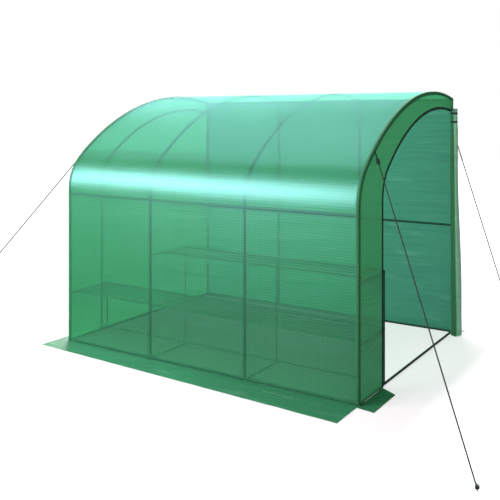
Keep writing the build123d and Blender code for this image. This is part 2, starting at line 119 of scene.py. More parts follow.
@dataclass(frozen=True)
class Arch:
    """Upright leg, tight eave arc and long roof arc, past its crest to a straight end."""

    leg: float
    bend: float
    crest_depth: float
    crest: float
    eave_radius: float
    end: float
    straight: float = 0.0

    @property
    def roof_radius(self) -> float:
        """Radius of the roof arc, from the two arcs being tangent.

        Returns:
            The radius in metres.
        """
        span = self.crest_depth - self.leg
        rise = self.crest - self.bend
        return (span**2 + rise**2 - 2 * span * self.eave_radius) / (2 * (rise - self.eave_radius))

    @property
    def turn(self) -> float:
        """Angle of the eave arc.

        Returns:
            The angle in radians.
        """
        span = self.crest_depth - self.leg
        rise = self.crest - self.bend
        return math.atan2(self.roof_radius - rise, span - self.eave_radius)

    @property
    def fall(self) -> float:
        """Slope of the straight end below level: where the arc's tangent ends at the end's depth.

        Returns:
            The slope in radians.
        """
        reach = math.hypot(self.roof_radius, self.straight)
        past_crest = math.asin((self.end - self.crest_depth) / reach)
        return past_crest - math.atan2(self.straight, self.roof_radius)

    @property
    def bends(self) -> tuple[float, float]:
        """Distances from the foot at which the eave arc and the roof arc end."""
        eave = self.bend + self.eave_radius * self.turn
        return eave, eave + self.roof_radius * (math.pi / 2 + self.fall - self.turn)

    @property
    def length(self) -> float:
        """Length of the leg from the ground, both arcs and the straight end."""
        return self.bends[1] + self.straight

    def at(self, s: Grid) -> tuple[Grid, Grid]:
        """Points and outward normals by distance from the foot.

        Height grows with distance up the leg, then the angle grows by distance over radius; past
        the roof arc the place runs on along its tangent.

        Args:
            s: Distances along the arch from the ground.

        Returns:
            Points (…, 2) as depth and height, and unit normals (…, 2).
        """
        eave_end, roof_end = self.bends
        eave_angle = np.clip((s - self.bend) / self.eave_radius, 0, self.turn)
        roof_angle = self.turn + np.clip(s - eave_end, 0, roof_end - eave_end) / self.roof_radius
        on_roof = s > eave_end
        angle = np.where(on_roof, roof_angle, eave_angle)
        radius = np.where(on_roof, self.roof_radius, self.eave_radius)
        centre_y = np.where(on_roof, self.crest_depth, self.leg + self.eave_radius)
        centre_z = np.where(on_roof, self.crest - self.roof_radius, self.bend)
        past = np.clip(s - roof_end, 0, None)
        height = centre_z + radius * np.sin(angle) - past * math.sin(self.fall)
        height = np.where(s < self.bend, s, height)
        depth = centre_y - radius * np.cos(angle) + past * math.cos(self.fall)
        normal = np.stack([-np.cos(angle), np.sin(angle)], axis=-1)
        return np.stack([depth, height], axis=-1), normal

    def end_height(self, depth: float, offset: float) -> float:
        """Height of the straight end's line at a depth, offset outwards.

        Args:
            depth: Depth of the place.
            offset: How far outwards the line runs.

        Returns:
            The height in metres.
        """
        point, normal = self.at(np.array([self.length]))
        start = point[0] + normal[0] * offset
        return float(start[1] - (depth - start[0]) * math.tan(self.fall))

    def height_at(self, depth: Grid) -> Grid:
        """Height of the arch above a depth: on whichever arc stands there.

        Args:
            depth: Depths of the places.

        Returns:
            Heights, one for each depth.
        """
        join = self.leg + self.eave_radius * (1 - math.cos(self.turn))
        eave_run = np.clip(depth - self.leg - self.eave_radius, -self.eave_radius, 0)
        eave = self.bend + np.sqrt(self.eave_radius**2 - eave_run**2)
        roof_run = depth - self.crest_depth
        roof = self.crest - self.roof_radius + np.sqrt(self.roof_radius**2 - roof_run**2)
        return np.where(depth > join, roof, eave)


SKELETON = Skeleton.from_frame()
CREST_SETBACK = 1.66
DOOR_SETBACK = 0.415
DOOR_CREST_SETBACK = 1.79
HOOP_ARCH = Arch(
    leg=SKELETON.front,
    bend=SKELETON.bend,
    crest_depth=SKELETON.front + CREST_SETBACK,
    crest=SKELETON.crest,
    eave_radius=0.4,
    end=SKELETON.back,
    straight=SKELETON.rail_reach,
)
DOOR_ARCH = Arch(
    leg=SKELETON.front + DOOR_SETBACK,
    bend=1.4,
    crest_depth=SKELETON.front + DOOR_CREST_SETBACK,
    crest=2.119,
    eave_radius=0.33,
    end=SKELETON.back - 0.025,
)


# Meshes
def waves(u: Grid, v: Grid, seed: int, count: int, stretch: tuple[float, float]) -> Grid:
    """Soft irregular waves: a sum of sines with seeded directions, lengths and phases.

    Args:
        u: First surface coordinate in metres.
        v: Second surface coordinate in metres.
        seed: Seed of the random draw.
        count: How many sines are added.
        stretch: Shortest wavelengths along u and v in metres.

    Returns:
        Heights of about -1 to 1.
    """
    rng = np.random.default_rng(seed)
    total = np.zeros(np.broadcast(u, v).shape)
    for step in range(count):
        longer = 1 + step / 2
        along_u = rng.uniform(-1, 1) / (stretch[0] * longer)
        along_v = rng.uniform(0.5, 1) / (stretch[1] * longer)
        phase = rng.uniform(0, 2 * math.pi)
        total += np.sin(2 * math.pi * (along_u * u + along_v * v) + phase)
    return total / math.sqrt(count)


def mesh_object(name: str, points: Grid, quads: Grid, uv: Grid) -> bpy.types.Object:
    """Mesh of four-sided faces with its own map in metres.

    Args:
        name: Name of the piece.
        points: Corner places (n, 3).
        quads: Corner numbers of each face (m, 4).
        uv: Map place of each point (n, 2).

    Returns:
        The linked object, at the origin.
    """
    mesh = bpy.data.meshes.new(name)
    mesh.vertices.add(len(points))
    mesh.vertices.foreach_set("co", points.astype(np.float32).ravel())
    mesh.loops.add(quads.size)
    mesh.loops.foreach_set("vertex_index", quads.astype(np.int32).ravel())
    mesh.polygons.add(len(quads))
    mesh.polygons.foreach_set("loop_start", np.arange(0, quads.size, 4, dtype=np.int32))
    mesh.polygons.foreach_set("use_smooth", np.ones(len(quads), dtype=bool))
    layer = mesh.uv_layers.new(name=UV_NAME)
    layer.data.foreach_set("uv", uv[quads.ravel()].astype(np.float32).ravel())
    mesh.update(calc_edges=True)
    mesh.validate()
    made = bpy.data.objects.new(name, mesh)
    bpy.context.scene.collection.objects.link(made)
    return made


def grid_quads(rows: int, columns: int, wrap: bool = False, start: int = 0) -> Grid:
    """Faces of a grid of points stored row by row.

    Args:
        rows: Number of rows.
        columns: Number of points in a row.
        wrap: Whether the last column joins the first.
        start: Number of the grid's first point.

    Returns:
        Corner numbers (m, 4).
    """
    row = np.arange(rows - 1)[:, None]
    column = np.arange(columns if wrap else columns - 1)[None, :]
    after = (column + 1) % columns
    near, far = row * columns, (row + 1) * columns
    corners = [near + column, near + after, far + after, far + column]
    return start + np.stack(corners, axis=-1).reshape(-1, 4)


def sheet_object(name: str, points: Grid, uv: Grid, flip: bool = False) -> bpy.types.Object:
    """One continuous sheet from a grid of places.

    Args:
        name: Name of the piece.
        points: Places (rows, columns, 3).
        uv: Map places (rows, columns, 2) in metres.
        flip: Whether the faces turn to the other side.

    Returns:
        The linked object.
    """
    quads = grid_quads(points.shape[0], points.shape[1])
    if flip:
        quads = quads[:, ::-1]
    return mesh_object(name, points.reshape(-1, 3), quads, uv.reshape(-1, 2))


def sweep(path: Grid, sides: Grid, ups: Grid, profile: Grid) -> tuple[Grid, Grid]:
    """Carry a closed profile along a path: place plus side times its x plus up times its y.

    Args:
        path: Places along the path (n, 3).
        sides: Unit vector across the path at each place (n, 3).
        ups: Unit vector above the path at each place (n, 3).
        profile: Corners (m, 2), or (n, m, 2) where it changes along the path.

    Returns:
        Points (n, m, 3) and map places (n, m, 2).
    """
    profile = np.broadcast_to(profile, (len(path), *profile.shape[-2:]))
    points = path[:, None] + sides[:, None] * profile[..., :1] + ups[:, None] * profile[..., 1:]
    steps = np.linalg.norm(np.diff(path, axis=0), axis=1)
    along = np.concatenate([[0], np.cumsum(steps)])
    around = np.linalg.norm(np.diff(profile, axis=1), axis=2)
    around = np.concatenate([np.zeros((len(path), 1)), np.cumsum(around, axis=1)], axis=1)
    uv = np.stack([around, np.broadcast_to(along[:, None], around.shape)], axis=-1)
    return points, uv


def bar_object(name: str, runs: list[tuple[Grid, Grid]]) -> bpy.types.Object:
    """Closed bars from swept profiles, joined as one mesh, each end closed to its middle point.

    Args:
        name: Name of the piece.
        runs: Points (n, m, 3) and map places (n, m, 2) of each bar.

    Returns:
        The linked object, normals outwards.
    """
    all_points, all_uv, all_quads = [], [], []
    start = 0
    for points, uv in runs:
        ends = [points[:1].mean(axis=1, keepdims=True), points[-1:].mean(axis=1, keepdims=True)]
        caps = [np.repeat(end, points.shape[1], axis=1) for end in ends]
        points = np.concatenate([caps[0], points, caps[1]])
        uv = np.concatenate([uv[:1], uv, uv[-1:]])
        all_points.append(points.reshape(-1, 3))
        all_uv.append(uv.reshape(-1, 2))
        all_quads.append(grid_quads(points.shape[0], points.shape[1], wrap=True, start=start))
        start += points.shape[0] * points.shape[1]
    made = mesh_object(name, np.concatenate(all_points), np.concatenate(all_quads), np.concatenate(all_uv))
    tidy_normals(made)
    return made


def tidy_normals(piece: bpy.types.Object) -> None:
    """Merge doubled corners and turn every face outwards.

    Args:
        piece: The piece whose mesh is mended.
    """
    work = bmesh.new()
    work.from_mesh(piece.data)
    bmesh.ops.remove_doubles(work, verts=work.verts, dist=1e-6)
    bmesh.ops.dissolve_degenerate(work, edges=work.edges, dist=1e-7)
    bmesh.ops.recalc_face_normals(work, faces=work.faces)
    work.to_mesh(piece.data)
    work.free()


def circle(radius: float, sides: int) -> Grid:
    """Corners of a round profile."""
    angle = np.linspace(0, 2 * math.pi, sides, endpoint=False)
    return radius * np.stack([np.cos(angle), np.sin(angle)], axis=-1)


def flat_profile(width: float, thickness: float) -> Grid:
    """Corners of a tape's profile with softened edges.

    Args:
        width: Width of the tape.
        thickness: Thickness of the tape.

    Returns:
        Corners (6, 2).
    """
    w, t = width / 2, thickness / 2
    half = [(-w, 0), (-w + t, -t), (w - t, -t), (w, 0), (w - t, t), (-w + t, t)]
    return np.array(half)


def frame_along(path: Grid, side: Grid) -> tuple[Grid, Grid]:
    """Side and up vectors of a path that lies square to one direction.

    Args:
        path: Places (n, 3).
        side: The direction that the path is square to.

    Returns:
        Sides (n, 3) and ups (n, 3).
    """
    tangent = np.gradient(path, axis=0)
    tangent /= np.linalg.norm(tangent, axis=1, keepdims=True)
    sides = side - tangent * (tangent @ side)[:, None]
    sides /= np.linalg.norm(sides, axis=1, keepdims=True)
    return sides, np.cross(tangent, sides)


# Node trees
class Graph:
    """Short calls for a shader tree."""

    def __init__(self, tree: bpy.types.NodeTree) -> None:
        """Keep the tree."""
        self.tree = tree

    def node(self, kind: str, inputs: dict | None = None, **settings: object) -> bpy.types.Node:
        """Add a node.

        Args:
            kind: Type name of the node.
            inputs: Values or sockets by input name or number.
            **settings: Properties of the node.

        Returns:
            The node.
        """
        made = self.tree.nodes.new(kind)
        for key, value in settings.items():
            setattr(made, key, value)
        for key, value in (inputs or {}).items():
            if isinstance(value, bpy.types.NodeSocket):
                self.tree.links.new(value, made.inputs[key])
            else:
                made.inputs[key].default_value = value
        return made

    def maths(self, operation: str, *values: object) -> bpy.types.NodeSocket:
        """Arithmetic on numbers or sockets."""
        return self.node("ShaderNodeMath", dict(enumerate(values)), operation=operation).outputs[0]

    def mix(self, share: object, first: object, second: object) -> bpy.types.NodeSocket:
        """Blend of two colours by a share.

        Args:
            share: Share of the second colour.
            first: First colour or socket.
            second: Second colour or socket.

        Returns:
            Socket of the blended colour.
        """
        made = self.node("ShaderNodeMix", {0: share}, data_type="RGBA")
        for number, value in ((6, first), (7, second)):
            if isinstance(value, bpy.types.NodeSocket):
                self.tree.links.new(value, made.inputs[number])
            else:
                made.inputs[number].default_value = (*value, 1)
        return made.outputs[2]

    def ramp(self, value: object, low: float, high: float) -> bpy.types.NodeSocket:
        """Soft step from 0 at low to 1 at high."""
        sockets = {"Value": value, "From Min": low, "From Max": high}
        return self.node("ShaderNodeMapRange", sockets, interpolation_type="SMOOTHSTEP").outputs[0]

    def noise(self, vector: object, scale: object, detail: float) -> bpy.types.NodeSocket:
        """Soft noise of about 0 to 1."""
        sockets = {"Vector": vector, "Scale": scale, "Detail": detail}
        return self.node("ShaderNodeTexNoise", sockets).outputs[0]

    def stretched(self, vector: object, scale: tuple[float, float, float]) -> bpy.types.NodeSocket:
        """Coordinates multiplied along each direction."""
        return self.node("ShaderNodeMapping", {"Vector": vector, "Scale": scale}).outputs[0]


def new_group(name: str, inputs: dict[str, str], outputs: dict[str, str]) -> tuple[bpy.types.NodeTree, Graph]:
    """Empty shader group with named sockets.

    Args:
        name: Name of the group.
        inputs: Socket type by input name.
        outputs: Socket type by output name.

    Returns:
        The group and its graph.
    """
    group = bpy.data.node_groups.new(name, "ShaderNodeTree")
    for direction, sockets in (("INPUT", inputs), ("OUTPUT", outputs)):
        for socket, kind in sockets.items():
            group.interface.new_socket(name=socket, in_out=direction, socket_type=kind)
    return group, Graph(group)


VECTOR = "NodeSocketVector"
NUMBER = "NodeSocketFloat"


def weave_group() -> bpy.types.NodeTree:
    """Reinforced woven sheet: a square rib grid with a pillow in each cell, over fine crossing tapes.

    A rib is one minus the sine of the coordinate over the pitch, raised to a power; a pillow is
    the product of both sines; the tapes are the product of two quick sines.

    Returns:
        The group.
    """
    group, g = new_group(
        "woven_sheet",
        {"Metres": VECTOR, "Pitch": NUMBER, "Tape": NUMBER},
        {"Ribs": NUMBER, "Pillow": NUMBER, "Tapes": NUMBER},
    )
    source = g.node("NodeGroupInput")
    parts = g.node("ShaderNodeSeparateXYZ", {0: source.outputs["Metres"]})
    waved = []
    fine = []
    for axis in (0, 1):
        turns = g.maths("DIVIDE", parts.outputs[axis], source.outputs["Pitch"])
        waved.append(g.maths("ABSOLUTE", g.maths("SINE", g.maths("MULTIPLY", turns, math.pi))))
        quick = g.maths("DIVIDE", parts.outputs[axis], source.outputs["Tape"])
        fine.append(g.maths("SINE", g.maths("MULTIPLY", quick, math.pi)))
    ribs = [g.maths("POWER", g.maths("SUBTRACT", 1.0, wave), 3.0) for wave in waved]
    tapes = g.maths("MULTIPLY_ADD", g.maths("MULTIPLY", fine[0], fine[1]), 0.5, 0.5)
    found = {
        "Ribs": g.maths("MAXIMUM", ribs[0], ribs[1]),
        "Pillow": g.maths("MULTIPLY", waved[0], waved[1]),
        "Tapes": tapes,
    }
    g.node("NodeGroupOutput", found)
    return group


def crease_group() -> bpy.types.NodeTree:
    """Marks in a sheet: long soft streaks along the cloth and thin pale creases.

    A streak is noise stretched along the length; a crease is where another stretched noise
    crosses its middle value.

    Returns:
        The group.
    """
    group, g = new_group(
        "sheet_creases",
        {"Metres": VECTOR, "Streak": NUMBER, "Crease": NUMBER},
        {"Streaks": NUMBER, "Creases": NUMBER, "Blotches": NUMBER},
    )
    source = g.node("NodeGroupInput")
    metres = source.outputs["Metres"]
    streaks = g.noise(g.stretched(metres, (1.2, 26.0, 1.0)), source.outputs["Streak"], 3.0)
    field_noise = g.noise(g.stretched(metres, (0.55, 7.0, 1.0)), source.outputs["Crease"], 3.0)
    away = g.maths("ABSOLUTE", g.maths("SUBTRACT", field_noise, 0.5))
    line = g.maths("SUBTRACT", 1.0, g.ramp(away, 0.0, 0.03))
    gaps = g.ramp(g.noise(g.stretched(metres, (1.6, 6.0, 1.0)), 1.7, 1.0), 0.48, 0.66)
    found = {
        "Streaks": streaks,
        "Creases": g.maths("MULTIPLY", line, gaps),
        "Blotches": g.noise(metres, 1.6, 2.0),
    }
    g.node("NodeGroupOutput", found)
    return group


def wear_group() -> bpy.types.NodeTree:
    """Slight unevenness of a painted or moulded surface, from noise at two scales.

    Returns:
        The group.
    """
    inputs = {"Place": VECTOR, "Grain": NUMBER}
    group, g = new_group("surface_wear", inputs, {"Coarse": NUMBER, "Fine": NUMBER})
    source = g.node("NodeGroupInput")
    coarse = g.noise(source.outputs["Place"], 6.0, 3.0)
    fine = g.noise(source.outputs["Place"], source.outputs["Grain"], 2.0)
    g.node("NodeGroupOutput", {"Coarse": coarse, "Fine": fine})
    return group


def thread_group() -> bpy.types.NodeTree:
    """Diagonal threads of webbing, binding or rope: crossing slanted sines.

    Returns:
        The group.
    """
    group, g = new_group("slanted_threads", {"Metres": VECTOR, "Pitch": NUMBER}, {"Threads": NUMBER})
    source = g.node("NodeGroupInput")
    parts = g.node("ShaderNodeSeparateXYZ", {0: source.outputs["Metres"]})
    slants = []
    for operation in ("ADD", "SUBTRACT"):
        run = g.maths(operation, parts.outputs[0], parts.outputs[1])
        turns = g.maths("DIVIDE", run, source.outputs["Pitch"])
        slants.append(g.maths("SINE", g.maths("MULTIPLY", turns, 2 * math.pi)))
    threads = g.maths("MULTIPLY_ADD", g.maths("MAXIMUM", slants[0], slants[1]), 0.5, 0.5)
    g.node("NodeGroupOutput", {"Threads": threads})
    return group


GROUPS: dict[str, bpy.types.NodeTree] = {}


def new_material(name: str) -> tuple[bpy.types.Material, Graph]:
    """Material with an empty tree.

    Args:
        name: Name of the material.

    Returns:
        The material and its graph.
    """
    made = bpy.data.materials.new(name)
    made.use_nodes = True
    made.node_tree.nodes.clear()
    return made, Graph(made.node_tree)


def shaded(colour: Colour, factor: float) -> Colour:
    """The colour times one factor."""
    return tuple(part * factor for part in colour)


@dataclass(frozen=True)
class ClothFinish:
    """Woven plastic sheet: glossy green tapes that let some light and sight through."""

    name: str
    colour: Colour
    glow: Colour
    tint: Colour
    openness: float
    glow_share: float = 0.3
    roughness: float = 0.42
    gloss: float = 0.5
    gloss_tint: Colour = (0.45, 1.0, 0.95)
    ior: float = 1.5
    pitch: float = 0.021
    tape_width: float = 0.0026
    rib_depth: float = 0.0012
    rib_shade: float = 0.75
    crease_shade: float = 0.5
    streak_depth: float = 0.0035
    streak_shade: float = 0.16

    def material(self) -> bpy.types.Material:
        """Build the material.

        Returns:
            The material, its pattern on the piece's own map in metres.
        """
        made, g = new_material(self.name)
        metres = g.node("ShaderNodeUVMap", uv_map=UV_NAME).outputs[0]
        woven = {"Metres": metres, "Pitch": self.pitch, "Tape": self.tape_width}
        weave = g.node("ShaderNodeGroup", woven, node_tree=GROUPS["weave"])
        marked = {"Metres": metres, "Streak": 1.0, "Crease": 1.0}
        marks = g.node("ShaderNodeGroup", marked, node_tree=GROUPS["crease"])
        ribs, pillow, tapes = (weave.outputs[n] for n in ("Ribs", "Pillow", "Tapes"))
        streaks, creases, blotches = (marks.outputs[n] for n in ("Streaks", "Creases", "Blotches"))
        streaky = g.ramp(streaks, 0.3, 0.7)
        tone = g.maths("MULTIPLY_ADD", streaky, self.streak_shade, 1 - self.streak_shade / 2)
        tone = g.maths("MULTIPLY", tone, g.maths("MULTIPLY_ADD", g.ramp(blotches, 0.3, 0.7), 0.14, 0.93))
        tone = g.maths("MULTIPLY", tone, g.maths("MULTIPLY_ADD", tapes, 0.12, 0.94))
        dark = g.mix(tone, (0.0, 0.0, 0.0), self.colour)
        # The ribs are painted darker than the cells: painted shade along the rib grid, between the pillows
        # that catch the light.
        ribs_painted_dark = g.mix(g.maths("MULTIPLY", ribs, 1 - self.rib_shade), dark, shaded(self.colour, 0.35))
        pale = tuple(part + (1 - part) * 0.35 for part in self.colour)
        coloured = g.mix(g.maths("MULTIPLY", creases, self.crease_shade), ribs_painted_dark, pale)
        height = g.maths("MULTIPLY", g.maths("SUBTRACT", pillow, ribs), self.rib_depth)
        height = g.maths("ADD", height, g.maths("MULTIPLY", streaks, self.streak_depth))
        height = g.maths("ADD", height, g.maths("MULTIPLY", creases, 0.001 * self.crease_shade))
        bump = g.node("ShaderNodeBump", {"Height": height, "Distance": 1.0, "Strength": 1.0})
        rough = g.maths("MULTIPLY_ADD", ribs, 0.12, self.roughness)
        skin = g.node(
            "ShaderNodeBsdfPrincipled",
            {
                "Base Color": coloured,
                "Roughness": rough,
                "IOR": self.ior,
                "Specular IOR Level": self.gloss,
                "Specular Tint": (*self.gloss_tint, 1),
                "Normal": bump.outputs[0],
            },
        )
        glow = g.node("ShaderNodeBsdfTranslucent", {"Color": (*self.glow, 1)})
        body = g.node("ShaderNodeMixShader", {0: self.glow_share, 1: skin.outputs[0], 2: glow.outputs[0]})
        sight = g.node("ShaderNodeBsdfTransparent", {"Color": (*self.tint, 1)})
        openness = g.maths("MULTIPLY", g.maths("MULTIPLY_ADD", ribs, -0.2, 1.0), self.openness)
        solid = g.maths("SUBTRACT", 1.0, openness)
        cloth = g.node("ShaderNodeMixShader", {0: solid, 1: sight.outputs[0], 2: body.outputs[0]})
        g.node("ShaderNodeOutputMaterial", {"Surface": cloth.outputs[0]})
        return made


@dataclass(frozen=True)
class EnamelFinish:
    """Powder-coated steel: even colour, slight orange peel and a soft gloss."""

    name: str
    colour: Colour
    roughness: float = 0.38
    metallic: float = 0.0
    grain: float = 900.0

    def material(self) -> bpy.types.Material:
        """Build the material.

        Returns:
            The material, its pattern on Object coordinates.
        """
        made, g = new_material(self.name)
        place = g.node("ShaderNodeTexCoord").outputs["Object"]
        wear = g.node("ShaderNodeGroup", {"Place": place, "Grain": self.grain}, node_tree=GROUPS["wear"])
        coarse, fine = wear.outputs["Coarse"], wear.outputs["Fine"]
        coloured = g.mix(g.ramp(coarse, 0.3, 0.75), self.colour, shaded(self.colour, 1.5))
        rough = g.maths("MULTIPLY_ADD", coarse, 0.2, self.roughness - 0.1)
        bump = g.node("ShaderNodeBump", {"Height": g.maths("MULTIPLY", fine, 0.00012), "Distance": 1.0})
        skin = {
            "Base Color": coloured,
            "Roughness": rough,
            "Metallic": self.metallic,
            "Normal": bump.outputs[0],
        }
        surface = g.node("ShaderNodeBsdfPrincipled", skin)
        g.node("ShaderNodeOutputMaterial", {"Surface": surface.outputs[0]})
        return made


@dataclass(frozen=True)
class TapeFinish:
    """Woven webbing, binding or rope with slanted threads."""

    name: str
    colour: Colour
    pitch: float = 0.0032
    roughness: float = 0.7
    depth: float = 0.0003

    def material(self) -> bpy.types.Material:
        """Build the material.

        Returns:
            The material, its pattern on the piece's own map in metres.
        """
        made, g = new_material(self.name)
        metres = g.node("ShaderNodeUVMap", uv_map=UV_NAME).outputs[0]
        woven = {"Metres": metres, "Pitch": self.pitch}
        threads = g.node("ShaderNodeGroup", woven, node_tree=GROUPS["thread"])
        seen = threads.outputs["Threads"]
        coloured = g.mix(seen, shaded(self.colour, 0.6), shaded(self.colour, 1.25))
        bump = g.node("ShaderNodeBump", {"Height": g.maths("MULTIPLY", seen, self.depth), "Distance": 1.0})
        skin = {
            "Base Color": coloured,
            "Roughness": g.maths("MULTIPLY_ADD", seen, 0.1, self.roughness),
            "Normal": bump.outputs[0],
        }
        surface = g.node("ShaderNodeBsdfPrincipled", skin)
        g.node("ShaderNodeOutputMaterial", {"Surface": surface.outputs[0]})
        return made


def build_groups() -> None:
    """Make the shared shader groups."""
    GROUPS["weave"] = weave_group()
    GROUPS["crease"] = crease_group()
    GROUPS["wear"] = wear_group()
    GROUPS["thread"] = thread_group()


def dress(piece: bpy.types.Object, material: bpy.types.Material, slot: str, *nodes: str) -> bpy.types.Object:
    """Give a piece its material and body, and hide the nodes that it stands for.

    Args:
        piece: The piece.
        material: Its material.
        slot: The record's material slot; not used.
        *nodes: CAD nodes that it replaces.

    Returns:
        The piece.
    """
    piece.data.materials.clear()
    piece.data.materials.append(material)
    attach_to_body(piece, BODY)
    if nodes:
        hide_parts(*nodes)
    log.info("%s: %d faces", piece.name, len(piece.data.polygons))
    return piece


# The cover
@dataclass
class Cover:
    """The woven cover over the front wall and roof, with its back wall."""

    offset: float = 0.0113
    bay_points: int = 60
    wall_rows: int = 110
    roof_rows: int = 120
    wall_sag: float = 0.006
    roof_sag: float = 0.004
    kink: float = 0.12
    hem_drop: float = 0.08
    wrinkle: float = 0.0011
    foot: float = 0.002
    hem_gap: float = 0.0024
    hem_rise: float = 0.012
    back_offset: float = 0.0118
    back_top_offset: float = 0.0102
    back_rows: int = 170
    roof_finish: ClothFinish = ClothFinish(
        name="cover_cloth_roof",
        colour=(0.02, 0.15, 0.04),
        glow=(0.17, 0.74, 0.31),
        tint=(0.42, 0.97, 0.62),
        openness=0.62,
        glow_share=0.42,
        roughness=0.36,
        rib_shade=0.9,
        gloss=1.0,
        gloss_tint=(0.42, 0.9, 0.97),
        ior=2.9,
        rib_depth=0.0002,
        crease_shade=0.0,
        streak_depth=0.0008,
    )
    back_finish: ClothFinish = ClothFinish(
        name="cover_cloth_back",
        colour=(0.058, 0.24, 0.155),
        glow=(0.028, 0.11, 0.085),
        tint=(0.16, 0.62, 0.5),
        openness=0.0,
        glow_share=0.5,
        gloss=0.35,
        streak_depth=0.003,
        streak_shade=0.45,
        crease_shade=0.3,
    )

    def across(self) -> Grid:
        """Places along X: even within each bay, denser to the hoops, out to both ends.

        Returns:
            The places, from left to right.
        """
        hoops = np.array(SKELETON.hoops)
        t = np.linspace(0, 1, self.bay_points, endpoint=False)
        eased = 0.5 - 0.5 * np.cos(math.pi * t)
        blended = 0.5 * t + 0.5 * eased
        bays = [a + (b - a) * blended for a, b in zip(hoops, hoops[1:])]
        return np.concatenate([[-SKELETON.end], *bays, [hoops[-1], SKELETON.end]])

    def slack(self, x: Grid) -> Grid:
        """How far between two hoops, from 0 on a hoop to 1 midway: a sine with a kink at the hoops.

        Args:
            x: Places along X.

        Returns:
            Slack at each place.
        """
        hoops = SKELETON.hoops
        bay = hoops[1] - hoops[0]
        wave = np.sin(math.pi * (x - hoops[0]) / bay) ** 2
        outside = (x < hoops[0]) | (x > hoops[-1])
        smooth = np.sqrt(wave + self.kink**2) - self.kink
        return np.where(outside, 0, smooth)

    def roof(self) -> bpy.types.Object:
        """Front wall and roof as one sheet.

        Distance along the hoop gives the place on the arch; the sheet stands off by the offset,
        less the slack between hoops times a sine that is nought at the rails.

        Returns:
            The sheet.
        """
        x = self.across()
        level = HOOP_ARCH.length
        rail = SKELETON.bend - SKELETON.rail_reach
        wall = np.linspace(self.foot, rail, self.wall_rows, endpoint=False)
        arcs = np.linspace(rail, level, self.roof_rows)
        s = np.concatenate([wall, arcs])[:, None]
        places, normals = HOOP_ARCH.at(s[:, 0])
        on_wall = np.sin(math.pi * np.clip(s / rail, 0, 1))
        on_roof = np.sin(math.pi * np.clip((s - rail) / (level - rail), 0, 1))
        sag = self.wall_sag * on_wall + self.roof_sag * on_roof
        streaks = waves(x[None, :], s, 11, 9, (1.1, 0.055))
        folds = waves(x[None, :], s, 12, 6, (0.5, 0.16))
        rough = self.wrinkle * (0.55 * streaks + 0.45 * folds) * (0.25 + 0.75 * on_wall)
        stand = self.offset - self.slack(x)[None, :] * sag + rough * self.slack(x)[None, :]
        y = places[:, :1] + normals[:, :1] * stand
        z = places[:, 1:] + normals[:, 1:] * stand
        hem_y = SKELETON.back + self.offset + self.hem_gap
        corner = HOOP_ARCH.end_height(hem_y, self.offset)
        turn_down = np.array([[-0.004, 0.0006], [-0.001, -0.0006], [0, -0.003], [0, -0.02], [0, -0.05]])
        hem_foot = SKELETON.ridge + self.hem_rise - self.hem_drop
        tail = np.concatenate([turn_down, [[0, hem_foot - corner]]]) + [hem_y, corner]
        s_all = np.concatenate([s[:, 0], level + hem_y - SKELETON.back + corner - tail[:, 1]])
        y = np.concatenate([y, np.broadcast_to(tail[:, :1], (len(tail), x.size))])
        z = np.concatenate([z, np.broadcast_to(tail[:, 1:], (len(tail), x.size))])
        xs = np.broadcast_to(x, y.shape)
        points = np.stack([xs, y, z], axis=-1)
        uv = np.stack([xs, np.broadcast_to(s_all[:, None], y.shape)], axis=-1)
        return sheet_object("cover_sheet", points, uv)

    def back(self) -> bpy.types.Object:
        """Back wall: an upright sheet, gently creased, a little slack between the posts.

        Returns:
            The sheet.
        """
        x = self.across()
        top = HOOP_ARCH.end_height(SKELETON.back + self.back_offset, self.back_top_offset)
        z = np.linspace(self.foot, top, self.back_rows)[:, None]
        between = np.sin(math.pi * np.clip(z / top, 0, 1))
        long_waves = waves(x[None, :], z, 21, 9, (0.8, 0.07))
        short_waves = waves(x[None, :], z, 22, 7, (0.3, 0.2))
        creases = 0.6 * long_waves + 0.4 * short_waves
        out = self.back_offset + self.slack(x)[None, :] * between * 0.006 + 0.0009 * creases * between
        y = SKELETON.back + np.clip(out, 0.0108, 0.019)
        shape = y.shape
        points = np.stack([np.broadcast_to(x, shape), y, np.broadcast_to(z, shape)], axis=-1)
        return sheet_object("back_wall_sheet", points, points[..., [0, 2]], flip=True)

    def build(self) -> None:
        """Make and dress both sheets."""
        roof = dress(self.roof(), self.roof_finish.material(), "cover_cloth", "cover_front_and_roof")
        back = dress(self.back(), self.back_finish.material(), "cover_cloth", "cover_back_wall")


